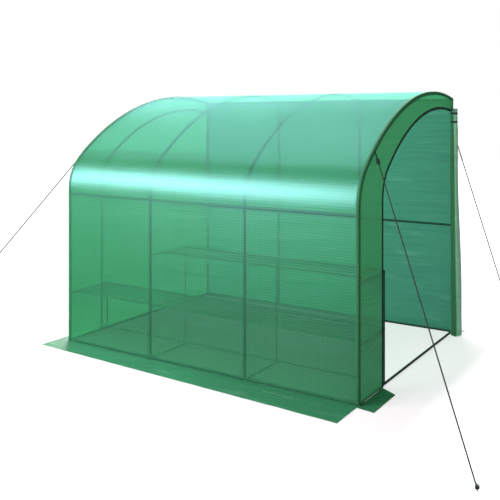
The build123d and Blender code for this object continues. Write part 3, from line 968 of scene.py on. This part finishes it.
# The ends
@dataclass
class EndWall:
    """One end: the cloth round the doorway, its zip and, at the left, the closed door."""

    side: Side
    inset: float = 0.0006
    rim_reach: float = 0.0106
    post_points: int = 60
    zip_width: float = 0.024
    zip_points: int = 420
    piping: float = 0.0035
    teeth: int = 560
    seam_width: float = 0.024
    seam_thickness: float = 0.0012
    finish: ClothFinish = ClothFinish(
        name="cover_cloth_ends",
        colour=(0.08, 0.28, 0.14),
        glow=(0.09, 0.34, 0.18),
        tint=(0.2, 0.7, 0.45),
        openness=0.25,
        gloss=0.5,
        crease_shade=0.1,
    )
    seam: ClothFinish = ClothFinish(
        name="cover_cloth_seam",
        colour=(0.06, 0.24, 0.11),
        glow=(0.08, 0.35, 0.18),
        tint=(0.3, 0.85, 0.55),
        openness=0.4,
        roughness=0.5,
        gloss=0.8,
        gloss_tint=(0.5, 0.9, 0.95),
        rib_depth=0.0002,
        crease_shade=0.0,
        streak_depth=0.0008,
    )

    @property
    def plane(self) -> float:
        """Place of the cloth along X."""
        return self.side.value * (SKELETON.end - self.inset)

    def rims(self, count: int) -> tuple[Grid, Grid]:
        """Matching places on the outer rim and the doorway's edge.

        Both start at the front foot, climb the arches and come down the back post; each
        stretch is divided evenly, so that places with the same number face each other.

        Args:
            count: Points on each arch.

        Returns:
            Outer and inner places (n, 2) as depth and height.
        """
        s = np.linspace(0, 1, count)
        hoop, normals = HOOP_ARCH.at(s * HOOP_ARCH.length)
        outer_arch = hoop + normals * self.rim_reach
        inner_arch, _ = DOOR_ARCH.at(s * DOOR_ARCH.length)
        back = SKELETON.back + self.rim_reach
        corner = np.array([[back, HOOP_ARCH.end_height(back, self.rim_reach)]])
        down = np.linspace(1, 0, self.post_points)[1:, None]
        outer_down = np.concatenate([np.full_like(down, back), down * corner[0, 1]], axis=1)
        inner_down = np.concatenate([np.full_like(down, DOOR_ARCH.end), down * inner_arch[-1, 1]], axis=1)
        outer = np.concatenate([outer_arch, corner, outer_down])
        inner = np.concatenate([inner_arch, inner_arch[-1:], inner_down])
        inner[count] = inner_arch[-1] * 0.999 + inner_down[0] * 0.001
        return outer, inner

    def cloth(self) -> bpy.types.Object:
        """Cloth between the two rims, with soft waves that die out at its edges.

        Returns:
            The sheet.
        """
        outer, inner = self.rims(260)
        t = np.linspace(0, 1, 26)[None, :, None]
        flat = outer[:, None] * (1 - t) + inner[:, None] * t
        y, z = flat[..., 0], flat[..., 1]
        edge = np.sin(math.pi * t[..., 0])
        bulge = 0.0016 * waves(y, z, 31 + self.side.value, 8, (0.16, 0.3)) * edge
        x = np.full(y.shape, self.plane) + self.side.value * bulge
        z = np.maximum(z, 0.002)
        points = np.stack([x, y, z], axis=-1)
        return sheet_object(f"end_sheet_{self.side.name.lower()}", points, flat, flip=self.side is Side.LEFT)

    def closed_door(self) -> bpy.types.Object:
        """Closed door: columns from the hem up to the doorway's arch, hanging in shallow folds.

        Returns:
            The sheet.
        """
        t = 0.5 - 0.5 * np.cos(math.pi * np.linspace(0, 1, 130))
        y = DOOR_ARCH.leg + 0.0004 + t * (DOOR_ARCH.end - DOOR_ARCH.leg - 0.0008)
        top = DOOR_ARCH.height_at(y) - 0.0004
        rise = np.linspace(0, 1, 150)[:, None]
        z = 0.004 + rise * (top[None, :] - 0.004)
        ys = np.broadcast_to(y, z.shape)
        edge = np.sin(math.pi * t)[None, :] * np.sin(math.pi * np.clip(rise * 0.9 + 0.1, 0, 1))
        folds = 0.0045 * waves(z, ys, 41, 7, (1.6, 0.16)) + 0.0015 * waves(ys, z, 42, 6, (0.6, 0.1))
        x = np.full(z.shape, self.plane) + self.side.value * folds * edge
        points = np.stack([x, ys, z], axis=-1)
        return sheet_object("door_sheet_left", points, points[..., [1, 2]], flip=True)

    def edge_path(self, inset: float, lift: float, count: int) -> tuple[Grid, Grid, Grid]:
        """Path along the doorway's arch.

        Args:
            inset: How far outside the doorway's edge the path runs.
            lift: How far it stands off the cloth.
            count: Points on the path.

        Returns:
            Places (n, 3), normals in the wall (n, 3) and directions out of the wall (n, 3).
        """
        s = np.linspace(0.002, DOOR_ARCH.length, count)
        flat, normal = DOOR_ARCH.at(s)
        flat = flat + normal * inset
        x = np.full(count, self.plane + self.side.value * lift)
        path = np.column_stack([x, flat])
        ups = np.column_stack([np.zeros(count), normal])
        outs = np.broadcast_to(np.array([self.side.value, 0.0, 0.0]), (count, 3))
        return path, ups, outs

    def zip_pieces(self, tape: bpy.types.Material, coil: bpy.types.Material) -> None:
        """Zip tape with a piped edge, and the coil of teeth along it.

        The coil is a thin bar whose radius swells and thins once for each tooth.

        Args:
            tape: Material of the tape.
            coil: Material of the coil.
        """
        word = self.side.name.lower()
        path, ups, outs = self.edge_path(0.0, 0.0011, self.zip_points)
        runs = [sweep(path, ups, outs, flat_profile(self.zip_width, 0.0009))]
        inset = self.piping - self.zip_width / 2
        edge, edge_ups, edge_outs = self.edge_path(inset, 0.0016, self.zip_points)
        runs.append(sweep(edge, edge_ups, edge_outs, circle(self.piping, 8)))
        dress(bar_object(f"zip_tape_{word}", runs), tape, "zip_tape", f"door_zip_{word}")
        steps = self.teeth * 4
        line, line_ups, line_outs = self.edge_path(0.002, 0.0021, steps)
        swell = 0.0013 + 0.0005 * np.cos(np.arange(steps) * math.pi / 2)
        rings = circle(1.0, 6)[None] * swell[:, None, None] * np.array([1.5, 0.8])
        dress(bar_object(f"zip_coil_{word}", [sweep(line, line_ups, line_outs, rings)]), coil, "zip_tape")

    def hem(self, material: bpy.types.Material) -> None:
        """Seam bands along the outer rim, on the end and on the roof, where both are sewn together.

        Args:
            material: Material of the bands.
        """
        s = np.linspace(0.004, HOOP_ARCH.length, 300)
        flat, normal = HOOP_ARCH.at(s)
        lift = self.side.value * 0.0009
        path = np.column_stack([np.full(len(s), self.plane + lift), flat - normal * 0.006])
        ups = np.column_stack([np.zeros(len(s)), normal])
        outs = np.broadcast_to(np.array([self.side.value, 0.0, 0.0]), path.shape)
        profile = flat_profile(self.seam_width, self.seam_thickness)
        roof_x = self.plane - self.side.value * 0.0115
        over = np.column_stack([np.full(len(s), roof_x), flat + normal * 0.0125])
        runs = [sweep(path, ups, outs, profile), sweep(over, outs, ups, profile)]
        dress(bar_object(f"seam_band_{self.side.name.lower()}", runs), material, "cover_cloth")

    def build(self, tape: bpy.types.Material, coil: bpy.types.Material) -> None:
        """Make and dress the end.

        Args:
            tape: Material of the zip's tape.
            coil: Material of the zip's teeth.
        """
        word = self.side.name.lower()
        cloth_material = self.finish.material()
        cloth = dress(self.cloth(), cloth_material, "cover_cloth", f"end_panel_{word}")
        self.zip_pieces(tape, coil)
        self.hem(self.seam.material())
        if self.side is Side.LEFT:
            door = dress(self.closed_door(), cloth_material, "cover_cloth", "door_left")


@dataclass
class RolledDoor:
    """The open end's door, rolled up sideways and tied to the back corner."""

    turns: float = 8.6
    roll_points: int = 380
    rows: int = 120
    # The phase turns the roll's outer edge, with its dark tape, to the roll's left side, where that tape also
    # stands as painted shade.
    phase: float = 1.03
    hem_columns: int = 9
    wall_gap: float = 0.001
    forward: float = 0.002
    tie_half: float = 0.009
    inner_radius: float = 0.007
    fold_depth: float = 0.0032
    finish: ClothFinish = ClothFinish(
        name="cover_cloth_door",
        colour=(0.29, 0.5, 0.37),
        glow=(0.2, 0.4, 0.28),
        tint=(0.3, 0.8, 0.6),
        openness=0.0,
        glow_share=0.15,
        gloss=0.4,
        rib_shade=0.85,
    )

    def radii(self, z: Grid) -> tuple[Grid, Grid]:
        """Half widths of the roll at each height: wide at the foot, slim at the neck, pinched at the ties.

        Args:
            z: Heights.

        Returns:
            Half widths along X and along Y.
        """
        low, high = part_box("door_right_rolled")
        foot_x = (high.x - low.x) / 2
        foot_y = (high.y - low.y) / 2
        tie_low, tie_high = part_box("door_ties")
        neck_x = (tie_high.x - tie_low.x) / 2 - 0.0015
        neck_y = (tie_high.y - tie_low.y) / 2 - 0.0015
        t = np.clip(z / (high.z * 0.88), 0, 1)
        ease = t * t * (3 - 2 * t)
        lower = np.exp(-(((z - tie_low.z - self.tie_half) / 0.03) ** 2))
        upper = np.exp(-(((z - tie_high.z + self.tie_half) / 0.03) ** 2))
        pinch = 1 - 0.1 * lower - 0.1 * upper
        return (foot_x + (neck_x - foot_x) * ease) * pinch, (foot_y + (neck_y - foot_y) * ease) * pinch

    def centre(self, wide: Grid) -> tuple[Grid, float]:
        """Middle of the roll, as X and Y: it lies close to the end wall, a little forward."""
        low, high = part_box("door_right_rolled")
        return low.x + wide + self.wall_gap, (low.y + high.y) / 2 - self.forward

    def build(self, edge_tape_and_shade: bpy.types.Material) -> None:
        """Make the roll: a spiral of cloth whose radius grows with the angle, with soft upright folds.

        Args:
            edge_tape_and_shade: Material of the dark tape along the door's free edge; on the roll's left side
                it also serves as painted shade.
        """
        low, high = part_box("door_right_rolled")
        z = np.linspace(0.002, high.z - 0.001, self.rows)[:, None]
        wide, deep = self.radii(z)
        angle = np.linspace(0, 2 * math.pi * self.turns, self.roll_points)[None, :]
        share = angle / angle.max()
        grown = self.inner_radius / wide + (1 - self.inner_radius / wide) * share
        folds = np.sin(3 * angle + 1.3 * np.sin(2.2 * z) + 0.7) + 0.6 * np.sin(5 * angle - 2.1 * z + 2.0)
        lumps = waves(np.broadcast_to(angle * 0.03, (self.rows, self.roll_points)), z, 51, 6, (0.2, 0.5))
        factor = grown * 0.93 + (self.fold_depth * folds + 0.0025 * lumps) / wide * share
        centre_x, centre_y = self.centre(wide)
        x = centre_x + wide * factor * np.cos(angle + self.phase)
        y = centre_y + deep * factor * np.sin(angle + self.phase)
        x = np.maximum(x, low.x + 0.0005)
        foot_skew = 0.03 * np.clip(1 - z / 0.25, 0, 1) * (0.5 + 0.5 * np.sin(angle * 0.9))
        zs = np.broadcast_to(z, x.shape) + foot_skew
        zs = np.minimum(zs, high.z)
        points = np.stack([x, y, zs], axis=-1)
        run = np.cumsum(np.concatenate([[0], np.linalg.norm(np.diff(points[0], axis=0), axis=1)]))
        uv = np.stack([np.broadcast_to(run, x.shape), np.broadcast_to(z, x.shape)], axis=-1)
        sheet = sheet_object("rolled_door_sheet", points, uv)
        roll = dress(sheet, self.finish.material(), "cover_cloth", "door_right_rolled")
        axis = np.array([centre_x.mean(), centre_y, 0.0])
        outer = points[:, -self.hem_columns:]
        away = (outer - axis) * [1.0, 1.0, 0.0]
        away /= np.linalg.norm(away, axis=2, keepdims=True)
        # The outer turns carry the dark edge tape on the roll's left side: partly real tape, partly painted
        # shade of that side.
        hem = sheet_object("rolled_door_edge_tape_and_shade", outer + away * 0.0012, uv[:, -self.hem_columns:])
        dress(hem, edge_tape_and_shade, "zip_tape")


@dataclass(frozen=True)
class FlapCut:
    """Cut of one ground flap: width and length that it fits in, area, and the seed of its waves."""

    place: str
    seed: int
    flat: tuple[float, float]
    area: float


FLAP_CUTS = (
    FlapCut("front", 61, (0.346, 2.982), 0.84),
    FlapCut("left_end", 63, (0.108, 0.411), 0.0406),
    FlapCut("right_end", 65, (0.138, 0.481), 0.0589),
    FlapCut("back", 67, (0.088, 3.059), 0.26),
)


@dataclass
class Skirts:
    """Ground flaps of the cover, laid flat all round apart from the doorway.

    The reaches and setbacks are distances of the flaps' corners before and behind the front legs.
    """

    base_height: float = 0.0012
    wall_reach: float = 0.01
    left_reach: float = 0.23
    right_reach: float = 0.358
    side_setback: float = 0.33
    right_wall_reach: float = 0.045
    right_side_reach: float = 0.066
    zip_gap: float = 0.016
    finish: ClothFinish = ClothFinish(
        name="cover_cloth_skirt",
        colour=(0.027, 0.16, 0.07),
        glow=(0.03, 0.15, 0.07),
        tint=(0.2, 0.7, 0.5),
        openness=0.0,
        glow_share=0.05,
        gloss=0.35,
        gloss_tint=(0.6, 1.0, 0.85),
        crease_shade=0.12,
    )

    def corners(self, place: str) -> list[tuple[float, float]]:
        """Corners of one flap.

        Args:
            place: Where the flap lies.

        Returns:
            Wall start, wall end, loose end and loose start, as X and Y.
        """
        low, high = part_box("ground_flap_" + place)
        front, end = SKELETON.front, SKELETON.end
        wall = front - self.wall_reach
        side = front + self.side_setback
        if place == "front":
            right, left = front - self.right_reach, front - self.left_reach
            return [(low.x, wall), (end, wall), (end, right), (low.x, left)]
        if place == "back":
            return [(end, low.y), (-end, low.y), (low.x, high.y), (high.x, high.y)]
        if place == "left_end":
            door = front + DOOR_SETBACK - self.zip_gap
            return [(-end, door), (-end, wall), (low.x, wall), (low.x, side)]
        start, loose = front - self.right_wall_reach, front - self.right_side_reach
        return [(end, start), (end, front + DOOR_SETBACK), (high.x, side), (high.x, loose)]

    def flap(self, cut: FlapCut, material: bpy.types.Material) -> None:
        """One flap between its corners, its loose edge lifting in shallow waves.

        Places blend the corners in both directions; height is the base height plus waves that
        grow towards the loose edge.

        Args:
            cut: The flap's cut.
            material: Its material.
        """
        a, b, c, d = (np.array(corner) for corner in self.corners(cut.place))
        long = max(float(np.linalg.norm(b - a)), float(np.linalg.norm(c - d)))
        wide = max(float(np.linalg.norm(d - a)), float(np.linalg.norm(c - b)))
        u = np.linspace(0, 1, max(12, int(long / 0.018)))[None, :, None]
        v = np.linspace(0, 1, max(8, int(wide / 0.014)))[:, None, None]
        plan = (a * (1 - u) + b * u) * (1 - v) + (d * (1 - u) + c * u) * v
        x, y = plan[..., 0], plan[..., 1]
        loose = v[..., 0] ** 0.7
        lift = 0.0032 * (1 + waves(x, y, cut.seed, 7, (0.25, 0.3))) * loose * (1.15 - loose)
        crumple = 0.0008 * (1 + waves(x, y, cut.seed + 1, 8, (0.06, 0.05)))
        z = self.base_height + np.clip(lift + crumple, 0, 0.012)
        points = np.stack([x, y, z], axis=-1)
        across = np.cross(np.append(b - a, 0), np.append(d - a, 0))[2]
        piece = sheet_object("skirt_" + cut.place, points, plan, flip=across < 0)
        dress(piece, material, "cover_cloth", "ground_flap_" + cut.place)

    def build(self) -> None:
        """Make and dress the four flaps."""
        material = self.finish.material()
        for cut in FLAP_CUTS:
            self.flap(cut, material)


# Cords and straps
@dataclass
class Guys:
    """Taut guy ropes at the four corners, with webbing loops on the ends and hitches at the pegs."""

    rope_radius: float = 0.005
    rope_step: float = 0.004
    rope_lay: float = 0.016
    peg_radius: float = 0.0035
    loop_reach: float = 0.08
    loop_width: float = 0.012
    front_setback: float = 0.271
    back_drop: float = 0.292
    front_peg: tuple[float, float] = (1.045, 0.752)
    back_peg: float = 0.471
    peg_height: float = 0.024

    def corners(self) -> list[tuple[Grid, Grid]]:
        """Where the ropes start and end.

        Returns:
            Attachment on the end wall and foot of the peg, for each rope.
        """
        front_y = SKELETON.front + self.front_setback
        front_z = float(HOOP_ARCH.height_at(np.array(front_y)))
        hoop = SKELETON.hoops[-1]
        found = []
        for side in Side:
            attach = np.array([side.value * SKELETON.end, front_y, front_z])
            peg = np.array([side.value * (hoop + self.front_peg[0]), SKELETON.front - self.front_peg[1], 0.0])
            found.append((attach, peg))
            attach = np.array([side.value * SKELETON.end, SKELETON.back, SKELETON.ridge - self.back_drop])
            peg = np.array([side.value * (hoop + self.back_peg), SKELETON.back + self.back_peg, 0.0])
            found.append((attach, peg))
        return found

    def rope(self, start: Grid, end: Grid) -> tuple[Grid, Grid]:
        """Two-strand laid rope: a bar whose radius follows a twisting double lobe.

        Args:
            start: Upper end.
            end: Lower end.

        Returns:
            Points and map places.
        """
        run = end - start
        count = int(np.linalg.norm(run) / self.rope_step)
        path = start + run * np.linspace(0, 1, count)[:, None]
        sides, ups = frame_along(path, UP)
        angle = np.linspace(0, 2 * math.pi, 8, endpoint=False)[None, :]
        twist = (np.arange(count) * self.rope_step / self.rope_lay * math.pi)[:, None]
        radius = self.rope_radius * (0.9 + 0.14 * np.cos(2 * (angle + twist)))
        profile = np.stack([radius * np.cos(angle), radius * np.sin(angle)], axis=-1)
        return sweep(path, sides, ups, profile)

    def hitch(self, centre: Grid, axis: Grid, radius: float, turns: float) -> tuple[Grid, Grid]:
        """Turns of rope round an axis: a helix with a pitch of one rope.

        Args:
            centre: Middle of the hitch.
            axis: Direction that it goes round.
            radius: Radius of the turns.
            turns: How many turns.

        Returns:
            Points and map places.
        """
        axis = axis / np.linalg.norm(axis)
        across = np.cross(axis, [0.3, 0.8, 0.5])
        across /= np.linalg.norm(across)
        third = np.cross(axis, across)
        angle = np.linspace(0, 2 * math.pi * turns, int(22 * turns))[:, None]
        outward = across * np.cos(angle) + third * np.sin(angle)
        pitch = 2.05 * self.rope_radius
        path = centre + outward * radius + axis * (angle / (2 * math.pi) - turns / 2) * pitch
        tangent = np.gradient(path, axis=0)
        tangent /= np.linalg.norm(tangent, axis=1, keepdims=True)
        return sweep(path, outward, np.cross(tangent, outward), circle(self.rope_radius, 8))

    def loop(self, attach: Grid, direction: Grid) -> tuple[Grid, Grid]:
        """Webbing loop: a tape that runs out, round a small eye and back, sewn flat at the wall.

        Half the gap between both layers is a sine that swells to the eye.

        Args:
            attach: Place on the wall.
            direction: Direction of the rope.

        Returns:
            Points and map places.
        """
        t = np.linspace(0, 1, 60)
        out = self.loop_reach * np.sin(math.pi * t) ** 0.8
        gap = 0.0075 * np.sin(2 * math.pi * t) * np.clip(np.sin(math.pi * t), 0, 1) ** 2
        sideways = np.cross(direction, UP)
        sideways /= np.linalg.norm(sideways)
        upward = np.cross(sideways, direction)
        layer = np.where(t < 0.5, 0.0009, -0.0009)
        path = attach + direction * out[:, None] + sideways * (gap + layer)[:, None]
        tangent = np.gradient(path, axis=0)
        tangent /= np.linalg.norm(tangent, axis=1, keepdims=True)
        sides = np.broadcast_to(upward, path.shape)
        return sweep(path, sides, np.cross(tangent, sides), flat_profile(self.loop_width, 0.0014))

    def build(self, rope: bpy.types.Material, webbing: bpy.types.Material) -> None:
        """Make and dress ropes, hitches and loops.

        Args:
            rope: Material of the ropes.
            webbing: Material of the loops.
        """
        ropes, loops = [], []
        for attach, foot in self.corners():
            inwards = np.array([attach[0] - foot[0], attach[1] - foot[1], 0.0])
            inwards /= np.linalg.norm(inwards)
            reach = self.peg_radius + self.rope_radius
            low_end = foot + inwards * reach + UP * self.peg_height
            direction = (low_end - attach) / np.linalg.norm(low_end - attach)
            high_end = attach + direction * (self.loop_reach - 0.006)
            ropes.append(self.rope(high_end, low_end))
            ropes.append(self.hitch(high_end + direction * 0.022, direction, self.rope_radius * 1.9, 4.0))
            ropes.append(self.hitch(foot + UP * self.peg_height, UP, reach, 2.0))
            loops.append(self.loop(attach, direction))
        dress(bar_object("guy_rope_strands", ropes), rope, "rope", "guy_ropes")
        dress(bar_object("guy_rope_loops", loops), webbing, "webbing", "guy_loops")


@dataclass
class Ties:
    """Webbing ties round the rolled door."""

    width: float = 0.018
    thickness: float = 0.0016
    stand: float = 0.0012

    def band(self, z: float, door: RolledDoor) -> tuple[Grid, Grid]:
        """One tie: an oval band that closes on itself, a little outside the roll.

        Args:
            z: Middle height of the band.
            door: The roll that it holds.

        Returns:
            Points and map places.
        """
        wide, deep = (float(half) for half in door.radii(np.array(z)))
        centre = np.array([*door.centre(wide), z])
        angle = np.linspace(0, 2 * math.pi, 73)
        level = np.zeros_like(angle)
        oval = [(wide + self.stand) * np.cos(angle), (deep + self.stand) * np.sin(angle), level]
        path = centre + np.column_stack(oval)
        sides = np.broadcast_to(UP, path.shape)
        tangent = np.column_stack([-wide * np.sin(angle), deep * np.cos(angle), level])
        tangent /= np.linalg.norm(tangent, axis=1, keepdims=True)
        return sweep(path, sides, np.cross(tangent, sides), flat_profile(self.width, self.thickness))

    def build(self, door: RolledDoor, webbing: bpy.types.Material) -> None:
        """Make and dress the ties.

        Args:
            door: The roll that they hold.
            webbing: Their material.
        """
        low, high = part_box("door_ties")
        bars = [self.band(z, door) for z in (low.z + self.width / 2, high.z - self.width / 2)]
        dress(bar_object("door_tie_bands", bars), webbing, "webbing", "door_ties")


@dataclass
class ShelfMesh:
    """Fine wires welded across each wire shelf, between the heavier wires of the frame's own panels."""

    pitch: float = 0.024
    radius: float = 0.0009

    def panel(self, low: Vector, high: Vector) -> list[tuple[Grid, Grid]]:
        """Fine wires of one panel, at mid thickness, one each pitch across and along.

        Args:
            low: Lowest corner of the panel.
            high: Highest corner of the panel.

        Returns:
            The wires.
        """
        runs = []
        z = (low.z + high.z) / 2
        for axis in (0, 1):
            other = 1 - axis
            count = int((high[axis] - low[axis]) / self.pitch)
            for place in np.linspace(low[axis], high[axis], count)[1:-1]:
                ends = np.zeros((2, 3))
                ends[:, axis] = place
                ends[:, other] = (low[other] + 0.001, high[other] - 0.001)
                ends[:, 2] = z + (self.radius if axis else -self.radius)
                side = np.zeros(3)
                side[axis] = 1.0
                sides = np.broadcast_to(side, ends.shape)
                ups = np.broadcast_to(UP, ends.shape)
                runs.append(sweep(ends, sides, ups, circle(self.radius, 5)))
        return runs

    def build(self, wire: bpy.types.Material) -> None:
        """Make and dress the fine wires of every panel.

        Args:
            wire: Material of the wires.
        """
        for node in sorted(frame["nodes"]):
            if "wire_shelf" in node:
                name = node.replace("wire_shelf", "shelf_mesh")
                dress(bar_object(name, self.panel(*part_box(node))), wire, "shelf_wire")


# Materials of the frame's own pieces
def dress_frame(finishes: dict[str, bpy.types.Material]) -> None:
    """Assign materials to the CAD nodes that stay in sight.

    Args:
        finishes: Materials by the record's slot.
    """
    slots = {part["node"]: part["material_slot"] for part in frame["record"]["subparts"]}
    for name, node in frame["nodes"].items():
        if node.hide_render or slots[name] not in finishes:
            continue
        node.data.materials.clear()
        node.data.materials.append(finishes[slots[name]])


# Stage, light and camera
@dataclass
class Studio:
    """Pale floor, white surroundings, soft lamps and the camera."""

    floor_size: float = 60.0
    floor_drop: float = 0.0005
    picture: float = 500.0
    focal_pixels: float = 739.6
    horizon_row: float = 119.2
    camera_place: Place = (3.5996, SKELETON.front - 4.797, 2.0193)
    camera_yaw: float = -0.5704
    shadow_reach: float = 0.85

    def floor(self) -> None:
        """White floor that keeps a pale shadow and is darker in reflections; seen through cloth it is painted
        dark, a painted shade of the floor inside.
        """
        half = self.floor_size / 2
        plan = np.array([[-half, -half], [half, -half], [-half, half], [half, half]])
        points = np.column_stack([plan, np.full(4, -self.floor_drop)])
        floor = mesh_object("studio_floor", points, np.array([[0, 1, 3, 2]]), plan)
        made, g = new_material("studio_floor")
        path = g.node("ShaderNodeLightPath")
        lit = g.node("ShaderNodeBsdfDiffuse", {"Color": (0.6, 0.51, 0.56, 1)})
        # Seen through cloth, the floor turns a dark grey: painted shade of the floor inside the greenhouse.
        through = g.maths("GREATER_THAN", path.outputs["Transparent Depth"], 0.5)
        seen = g.mix(through, (1.0, 1.0, 1.0), (0.04, 0.05, 0.045))
        white = g.node("ShaderNodeEmission", {"Color": seen, "Strength": 1.45})
        place = g.node("ShaderNodeTexCoord").outputs["Object"]
        parts = g.node("ShaderNodeSeparateXYZ", {0: place})
        beside = g.maths("SUBTRACT", g.maths("ABSOLUTE", parts.outputs[0]), SKELETON.end)
        middle_y = (SKELETON.front + SKELETON.back) / 2
        from_middle = g.maths("ABSOLUTE", g.maths("SUBTRACT", parts.outputs[1], middle_y))
        before = g.maths("SUBTRACT", from_middle, (SKELETON.back - SKELETON.front) / 2)
        far = g.ramp(g.maths("MAXIMUM", beside, before), 0.0, self.shadow_reach)
        direct = g.maths("MAXIMUM", path.outputs["Is Camera Ray"], path.outputs["Is Transmission Ray"])
        # Through cloth the painted dark colour also takes the larger share of the floor's look.
        near_share = g.maths("MULTIPLY_ADD", through, 0.43, 0.42)
        share = g.maths("MULTIPLY", direct, g.maths("MAXIMUM", near_share, far))
        mixed = g.node("ShaderNodeMixShader", {0: share, 1: lit.outputs[0], 2: white.outputs[0]})
        mirrored = g.node("ShaderNodeEmission", {"Color": (0.1, 0.1, 0.1, 1)})
        glossy = path.outputs["Is Glossy Ray"]
        mixed = g.node("ShaderNodeMixShader", {0: glossy, 1: mixed.outputs[0], 2: mirrored.outputs[0]})
        g.node("ShaderNodeOutputMaterial", {"Surface": mixed.outputs[0]})
        floor.data.materials.append(made)

    def world(self) -> None:
        """White to the eye, a plain pale grey as light, dim in reflections."""
        world = bpy.data.worlds.new("studio_world")
        bpy.context.scene.world = world
        world.use_nodes = True
        world.node_tree.nodes.clear()
        g = Graph(world.node_tree)
        path = g.node("ShaderNodeLightPath")
        seen = g.maths("MAXIMUM", path.outputs["Is Camera Ray"], path.outputs["Is Transmission Ray"])
        bright = g.node("ShaderNodeBackground", {"Color": (1, 1, 1, 1), "Strength": 1.0})
        strength = g.maths("MULTIPLY_ADD", path.outputs["Is Glossy Ray"], -0.2, 0.34)
        plain = g.node("ShaderNodeBackground", {"Color": (0.95, 0.97, 1.0, 1), "Strength": strength})
        mixed = g.node("ShaderNodeMixShader", {0: seen, 1: plain.outputs[0], 2: bright.outputs[0]})
        g.node("ShaderNodeOutputWorld", {"Surface": mixed.outputs[0]})

    def lamp(self, name: str, place: Place, target: Place, size: tuple[float, float], power: float) -> None:
        """Soft area lamp that points at a target.

        Args:
            name: Name of the lamp.
            place: Where it is.
            target: Where it points.
            size: Width and height.
            power: Power in watts.
        """
        data = bpy.data.lights.new(name, "AREA")
        data.shape = "RECTANGLE"
        data.size, data.size_y = size
        data.energy = power
        made = bpy.data.objects.new(name, data)
        made.location = place
        made.rotation_euler = (Vector(target) - Vector(place)).to_track_quat("-Z", "Y").to_euler()
        bpy.context.scene.collection.objects.link(made)

    def camera(self) -> None:
        """Camera at the photograph's place, its horizon above the middle of the picture."""
        data = bpy.data.cameras.new("view")
        data.sensor_fit = "HORIZONTAL"
        data.sensor_width = 36.0
        data.lens = self.focal_pixels / self.picture * data.sensor_width
        data.shift_y = (self.horizon_row - self.picture / 2) / self.picture
        made = bpy.data.objects.new("view", data)
        made.location = self.camera_place
        forward = Vector((math.sin(self.camera_yaw), math.cos(self.camera_yaw), 0.0))
        made.rotation_euler = forward.to_track_quat("-Z", "Y").to_euler()
        bpy.context.scene.collection.objects.link(made)
        bpy.context.scene.camera = made

    def build(self) -> None:
        """Set up stage, lamps, camera and the plain view transform."""
        bpy.context.scene.view_settings.view_transform = "Standard"
        self.camera()
        self.world()
        self.floor()
        self.lamp("eave_lamp_left", (-6.0, -5.7, 4.2), (-6.0, SKELETON.front, 1.5), (3.6, 3.2), 700.0)
        self.lamp("eave_lamp_right", (-2.4, -5.7, 3.3), (-2.4, SKELETON.front, 1.5), (3.6, 3.2), 490.0)
        self.lamp("top_lamp", (-2.5, 1.5, 6.5), (-2.5, 1.4, 0.0), (10.0, 5.0), 480.0)
        self.lamp("back_lamp", (-4.2, 6.6, 4.0), (-1.0, 0.6, 2.0), (7.5, 6.4), 1480.0)
        self.lamp("right_lamp", (7.5, -3.5, 3.2), (1.4, 0.0, 1.2), (3.0, 3.0), 90.0)


def main() -> None:
    """Build every sub-assembly in order."""
    logging.basicConfig(level=logging.INFO, format="%(name)s %(message)s")
    build_groups()
    Studio().build()
    tape = TapeFinish("binding_tape", (0.003, 0.028, 0.017)).material()
    coil = EnamelFinish("zip_teeth", (0.012, 0.05, 0.035), roughness=0.45).material()
    webbing = TapeFinish("webbing", (0.006, 0.03, 0.022), pitch=0.0045).material()
    rope = TapeFinish("laid_rope", (0.012, 0.024, 0.02), pitch=0.004).material()
    wire = EnamelFinish("coated_wire", (0.004, 0.045, 0.025), roughness=0.5).material()
    Cover().build()
    for side in Side:
        EndWall(side).build(tape, coil)
    door = RolledDoor()
    # The rolled door's dark edge tape is partly painted shade on the roll's left side.
    door.build(TapeFinish("door_edge_tape_and_painted_shade", (0.035, 0.105, 0.06)).material())
    Skirts().build()
    Guys().build(rope, webbing)
    Ties().build(door, webbing)
    ShelfMesh().build(wire)
    enamel = EnamelFinish("green_enamel", (0.002, 0.026, 0.015), roughness=0.65).material()
    dress_frame({
        "frame_tube": enamel,
        "fitting_steel": EnamelFinish("fitting_enamel", (0.004, 0.042, 0.027), roughness=0.45).material(),
        "shelf_tube": enamel,
        "shelf_wire": wire,
        "zip_slider": coil,
        "peg_steel": EnamelFinish("galvanised", (0.42, 0.43, 0.43), roughness=0.42, metallic=0.9).material(),
    })


if __name__ == "__main__":
    main()
